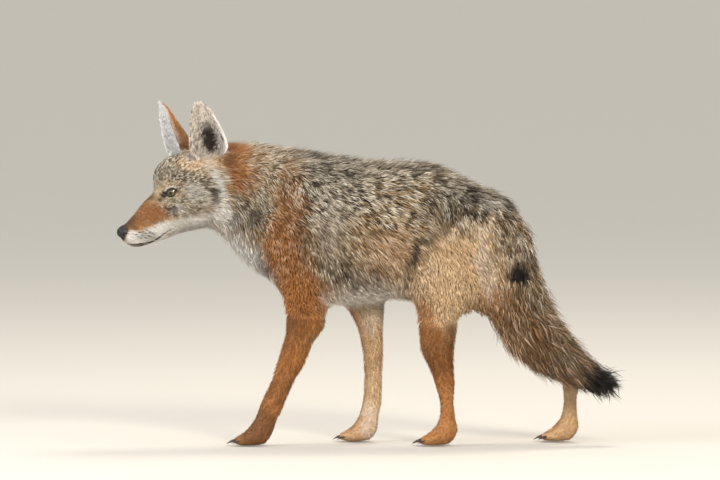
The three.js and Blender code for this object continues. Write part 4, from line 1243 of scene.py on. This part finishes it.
coatPieces["coat_ear_fringes"] = dict(on=["ear_left", "ear_right"], count=2200, width=0.7, length=5, least=8,
                                      pull=0.3, bent=True, fur="ear", lie=fringeLie, thick=fringeThick)

total = 0
for pieceName, make in coatPieces.items():
    total += buildCoat(pieceName, make)
print("coat has", total, "triangles")


# Eyes
def gazeTurn(eye):
    return eye["gaze"].to_track_quat("Z", "Y").to_matrix().to_4x4()


def eyeMaterial():
    # Wet cornea over an amber grey iris: a clear glossy coat with the fibres of the iris under it
    material, tree, shader = newMaterial("wet_eye", Roughness=0.5, Specular_IOR_Level=0.0, Coat_Weight=1.0,
                                         Coat_IOR=1.376, Coat_Roughness=0.02)
    outwards, spokeX, spokeY = (addNode(tree, "Attribute", out="Fac", attribute_name=n)
                                for n in ("iris", "spokeX", "spokeY"))
    ring = addNode(tree, "Math", {0: outwards, 1: 0.25}, operation="MULTIPLY")
    place = addNode(tree, "CombineXYZ", {0: spokeX, 1: spokeY, 2: ring})
    fibres = addNode(tree, "TexNoise", {"Vector": place, "Scale": 9.0, "Detail": 4.0}, out="Fac")
    iris = addNode(tree, "ValToRGB", {"Fac": fibres}, eyeMake["irisStops"])
    rim = addNode(tree, "ValToRGB", {"Fac": outwards}, eyeMake["rimStops"])
    colour = addNode(tree, "Mix", {0: 1.0, 6: iris, 7: rim}, out=2, data_type="RGBA", blend_type="MULTIPLY")
    for tint, stops in (("pupil", ((0.30, 1.0), (0.34, 0.0))), ("white", ((1.0, 0.0), (1.06, 1.0)))):
        amount = addNode(tree, "ValToRGB", {"Fac": outwards}, stops)
        colour = addNode(tree, "Mix", {0: amount, 6: colour, 7: linear(eyeMake[tint])}, out=2, data_type="RGBA")
    tree.links.new(colour, shader.inputs["Base Color"])
    return material


def buildEyes():
    material = eyeMaterial()
    # Bare skin of the lids' edge: black, moist
    lidMaterial = newMaterial("moist_black_lid", eyeMake["lids"], Roughness=0.38, IOR=1.45)[0]
    for name, eye in eyes.items():
        bm = bmesh.new()
        bmesh.ops.create_uvsphere(bm, u_segments=48, v_segments=64, radius=eye["radius"] * mm)
        layers = {n: bm.verts.layers.float.new(n) for n in ("iris", "spokeX", "spokeY")}
        for v in bm.verts:
            off = math.degrees(v.co.angle(Vector((0, 0, 1)))) / eyeMake["iris"]
            v[layers["iris"]] = off
            flat = Vector((v.co.x, v.co.y, 0))
            flat = flat.normalized() if flat.length > 1e-7 else flat
            v[layers["spokeX"]], v[layers["spokeY"]] = flat.x, flat.y
            if off < 1:
                v.co += v.co.normalized() * eyeMake["bulge"] * (1 - off ** 2) ** 1.5 * mm
        bmesh.ops.transform(bm, matrix=Matrix.Translation(eye["centre"]) @ gazeTurn(eye), verts=bm.verts)
        mesh = toMesh(bm, "ball")
        mesh.shade_smooth()
        side = name.split("_")[1]
        ball = newPiece(f"eyeball_{side}", mesh, material)
        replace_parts(ball, name)
        buildTube(f"lid_edge_{side}", lidLine(eye), lidMaterial, True)


def lidLine(eye):
    # Points round the opening with the thickness of the rim at each
    line, steps = [], 56
    for i in range(steps):
        turn = 2 * math.pi * i / steps
        a = math.cos(turn) * eyeMake["widthHalf"]
        upper, lower = lidEdge(np.array([a]))
        b = float(upper[0] if math.sin(turn) > 0 else lower[0])
        rest = math.sqrt(max(eye["radius"] ** 2 - a * a - b * b, 1))
        way = (eye["outer"] * a + eye["above"] * b + eye["outward"] * rest).normalized()
        thick = 0.75 + 0.5 * max(0, math.sin(turn)) - 0.15 * math.cos(turn)
        line.append((eye["centre"] + way * (eye["radius"] + 0.45) * mm, thick))
    return line


def buildTube(name, line, material, closed=False, sides=3):
    curve = bpy.data.curves.new(name, "CURVE")
    curve.dimensions = "3D"
    curve.bevel_depth, curve.bevel_resolution, curve.use_fill_caps = mm, sides, True
    spline = curve.splines.new("POLY")
    spline.points.add(len(line) - 1)
    spline.use_cyclic_u = closed
    for point, (place, thick) in zip(spline.points, line):
        point.co = (*place, 1)
        point.radius = thick
    mesh = evaluated(newObject(name, curve))
    mesh.shade_smooth()
    return newPiece(name, mesh, material)


# Nose: places from its middle in the head's frame, reach and depth, all in mm
noseMake = {
    "voxel": 0.6, "smoothing": 6, "overlap": 0.25, "pebble": 0.85,
    # the pebbles darken towards their edges: painted shade in the grooves between them
    "stops": ((0.0, "#221c19"), (0.7, "#110d0b")),  # from the middle of a pebble to its edge
    "taper": 0.42,  # how much narrower it gets downwards, towards the groove of the lip
    "slope": 4.5,  # how far its lower edge lies behind the upper
    "dents": [
        ((5.5, 0, 8), (6, 9, 5), -2.4),  # the top slopes on from the bridge
        ((8.5, 4.4, 0.2), (3.2, 2.1, 2.3), -4.2),  # nostril
        ((6.0, 7.6, -1.4), (3.0, 2.2, 1.2), -2.6),  # its slit, out and back
        ((2.5, 9.6, -2.6), (3.0, 2.4, 1.0), -1.8),
        ((9, 0, -7), (7, 0.8, 7), -1.1),  # groove in the middle
        ((5, 8.0, 3.4), (5, 3.4, 2.4), 0.8),  # wing over the nostril
        ((8.5, 2.0, -4.0), (3, 1.8, 2.6), 0.5),  # pad between the nostrils
    ],
}


def noseMaterial():
    # Nose leather: hairless, pebbled, moist enough for a soft shine
    material, tree, shader = newMaterial("pebbled_nose_leather", Roughness=0.55, IOR=1.38, Coat_Weight=0.08,
                                         Coat_Roughness=0.3)
    place = addNode(tree, "TexCoord", out="Object")
    scale = 1 / (noseMake["pebble"] * mm)
    height = addNode(tree, "TexVoronoi", {"Vector": place, "Scale": scale}, out="Distance")
    # darker at the edges of the pebbles, painted shade in the grooves
    tint = addNode(tree, "ValToRGB", {"Fac": height}, noseMake["stops"])
    tree.links.new(tint, shader.inputs["Base Color"])
    bump = addNode(tree, "Bump", {"Height": height, "Strength": 0.5, "Distance": 0.0003}, invert=True)
    tree.links.new(bump, shader.inputs["Normal"])
    return material


def buildNose():
    bm = melted(meshedCopy(["nose"], noseMake["overlap"])[0], "nose", noseMake["voxel"])
    smoothVerts(bm, bm.verts[:], noseMake["smoothing"])
    centre = inHead([middle("nose")])[0]
    local = inHead([v.co for v in bm.verts]) - centre
    low = smoothStep(1, -11, local[:, 2])
    narrower = -local[:, 1] * noseMake["taper"] * low
    shift = np.stack([-noseMake["slope"] * low, narrower, local[:, 2] * 0], axis=1)
    inward = unit(np.array([-3.0, 0, 0]) - local) * np.array([1, 0.6, 0.6])
    shift -= inward * bumps(local, noseMake["dents"])[:, None]
    for v, way in zip(bm.verts, (shift @ headAxes) * mm):
        v.co += Vector(way)
    smoothVerts(bm, bm.verts[:], 1)
    mesh = toMesh(bm, "nose_pad")
    mesh.shade_smooth()
    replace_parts(newPiece("nose_pad", mesh, noseMaterial()), "nose")


lipMake = {
    "colour": "#15110f",
    "thin": 0.55,  # mm, half the thickness at the ends
    "more": 1.2,  # what the thickest part adds
    "thickAt": 0.7,  # 0 at the front, 1 at the corners
    "thickWide": 0.24,
    "sunk": 0.2,
}


def buildMouth():
    # Lips: black hairless skin, seen as a line that is thickest near the corners of the mouth
    material = newMaterial("black_lip_skin", lipMake["colour"], Roughness=0.45, IOR=1.45)[0]
    line = []
    for i, place in enumerate(mouthLine):
        t = abs(2 * i / (len(mouthLine) - 1) - 1)
        swell = math.exp(-((t - lipMake["thickAt"]) / lipMake["thickWide"]) ** 2)
        line.append((place - upAxis * lipMake["sunk"] * mm, lipMake["thin"] + lipMake["more"] * swell))
    buildTube("lips", line, material)


whiskerMake = {
    "colour": "#2a211c",
    "missing": 0.4,  # share of the places without one
    "length": (18, 12),  # mm, and what chance adds
    "droop": (-3.5, -2.5),  # mm at the tip, down and inwards
    "points": 9,
    "root": 0.17,  # mm, half the thickness that it loses towards the tip
    "tip": 0.04,
}


def buildWhiskers():
    # Stiff dark bristles, thick at the root
    material = newMaterial("stiff_whisker", whiskerMake["colour"], Roughness=0.7, IOR=1.2)[0]
    rng = np.random.default_rng(11)
    least, more = whiskerMake["length"]
    down, inwards = whiskerMake["droop"]
    parts = []
    for sign in (-1, 1):
        for along, up in whiskerSpots:
            hit = skinTree.ray_cast(fromHead(along, 0, up), sideAxis * sign)[0]
            if hit is None or rng.random() < whiskerMake["missing"]:
                continue
            length = least + more * rng.random()
            way = headWay(-0.75 - 0.2 * rng.random(), 0.42 * sign, -0.16 - 0.25 * rng.random())
            line = []
            for i in range(whiskerMake["points"]):
                t = i / (whiskerMake["points"] - 1)
                droop = upAxis * down * t * t + sideAxis * sign * inwards * t * t
                thick = whiskerMake["root"] * (1 - t) + whiskerMake["tip"]
                line.append((hit + (way * length * t + droop) * mm, thick))
            parts.append(buildTube("whisker", line, material, sides=1))
    return parts


def joinPieces(name, parts, material):
    bm = bmesh.new()
    for part in parts:
        bm.from_mesh(part.data)
        bpy.data.objects.remove(part)
    mesh = toMesh(bm, name)
    mesh.shade_smooth()
    return newPiece(name, mesh, material)


clawStops = ((0.3, "#1d1612"), (0.7, "#4a3b2e"))


def dressClaws():
    # Claw horn: dark brown keratin, worn paler in streaks
    material, tree, shader = newMaterial("claw_horn", Roughness=0.4, IOR=1.55)
    place = addNode(tree, "TexCoord", out="Object")
    grain = addNode(tree, "TexNoise", {"Vector": place, "Scale": 1 / (2 * mm), "Detail": 4.0}, out="Fac")
    tree.links.new(addNode(tree, "ValToRGB", {"Fac": grain}, clawStops), shader.inputs["Base Color"])
    for name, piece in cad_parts.items():
        if "_claw_" in name:
            piece.data.materials.clear()
            piece.data.materials.append(material)
            piece.data.shade_smooth()


buildEyes()
buildNose()
buildMouth()
whiskers = buildWhiskers()
joinPieces("whiskers", whiskers, whiskers[0].data.materials[0])
dressClaws()
print("face and claws finished")
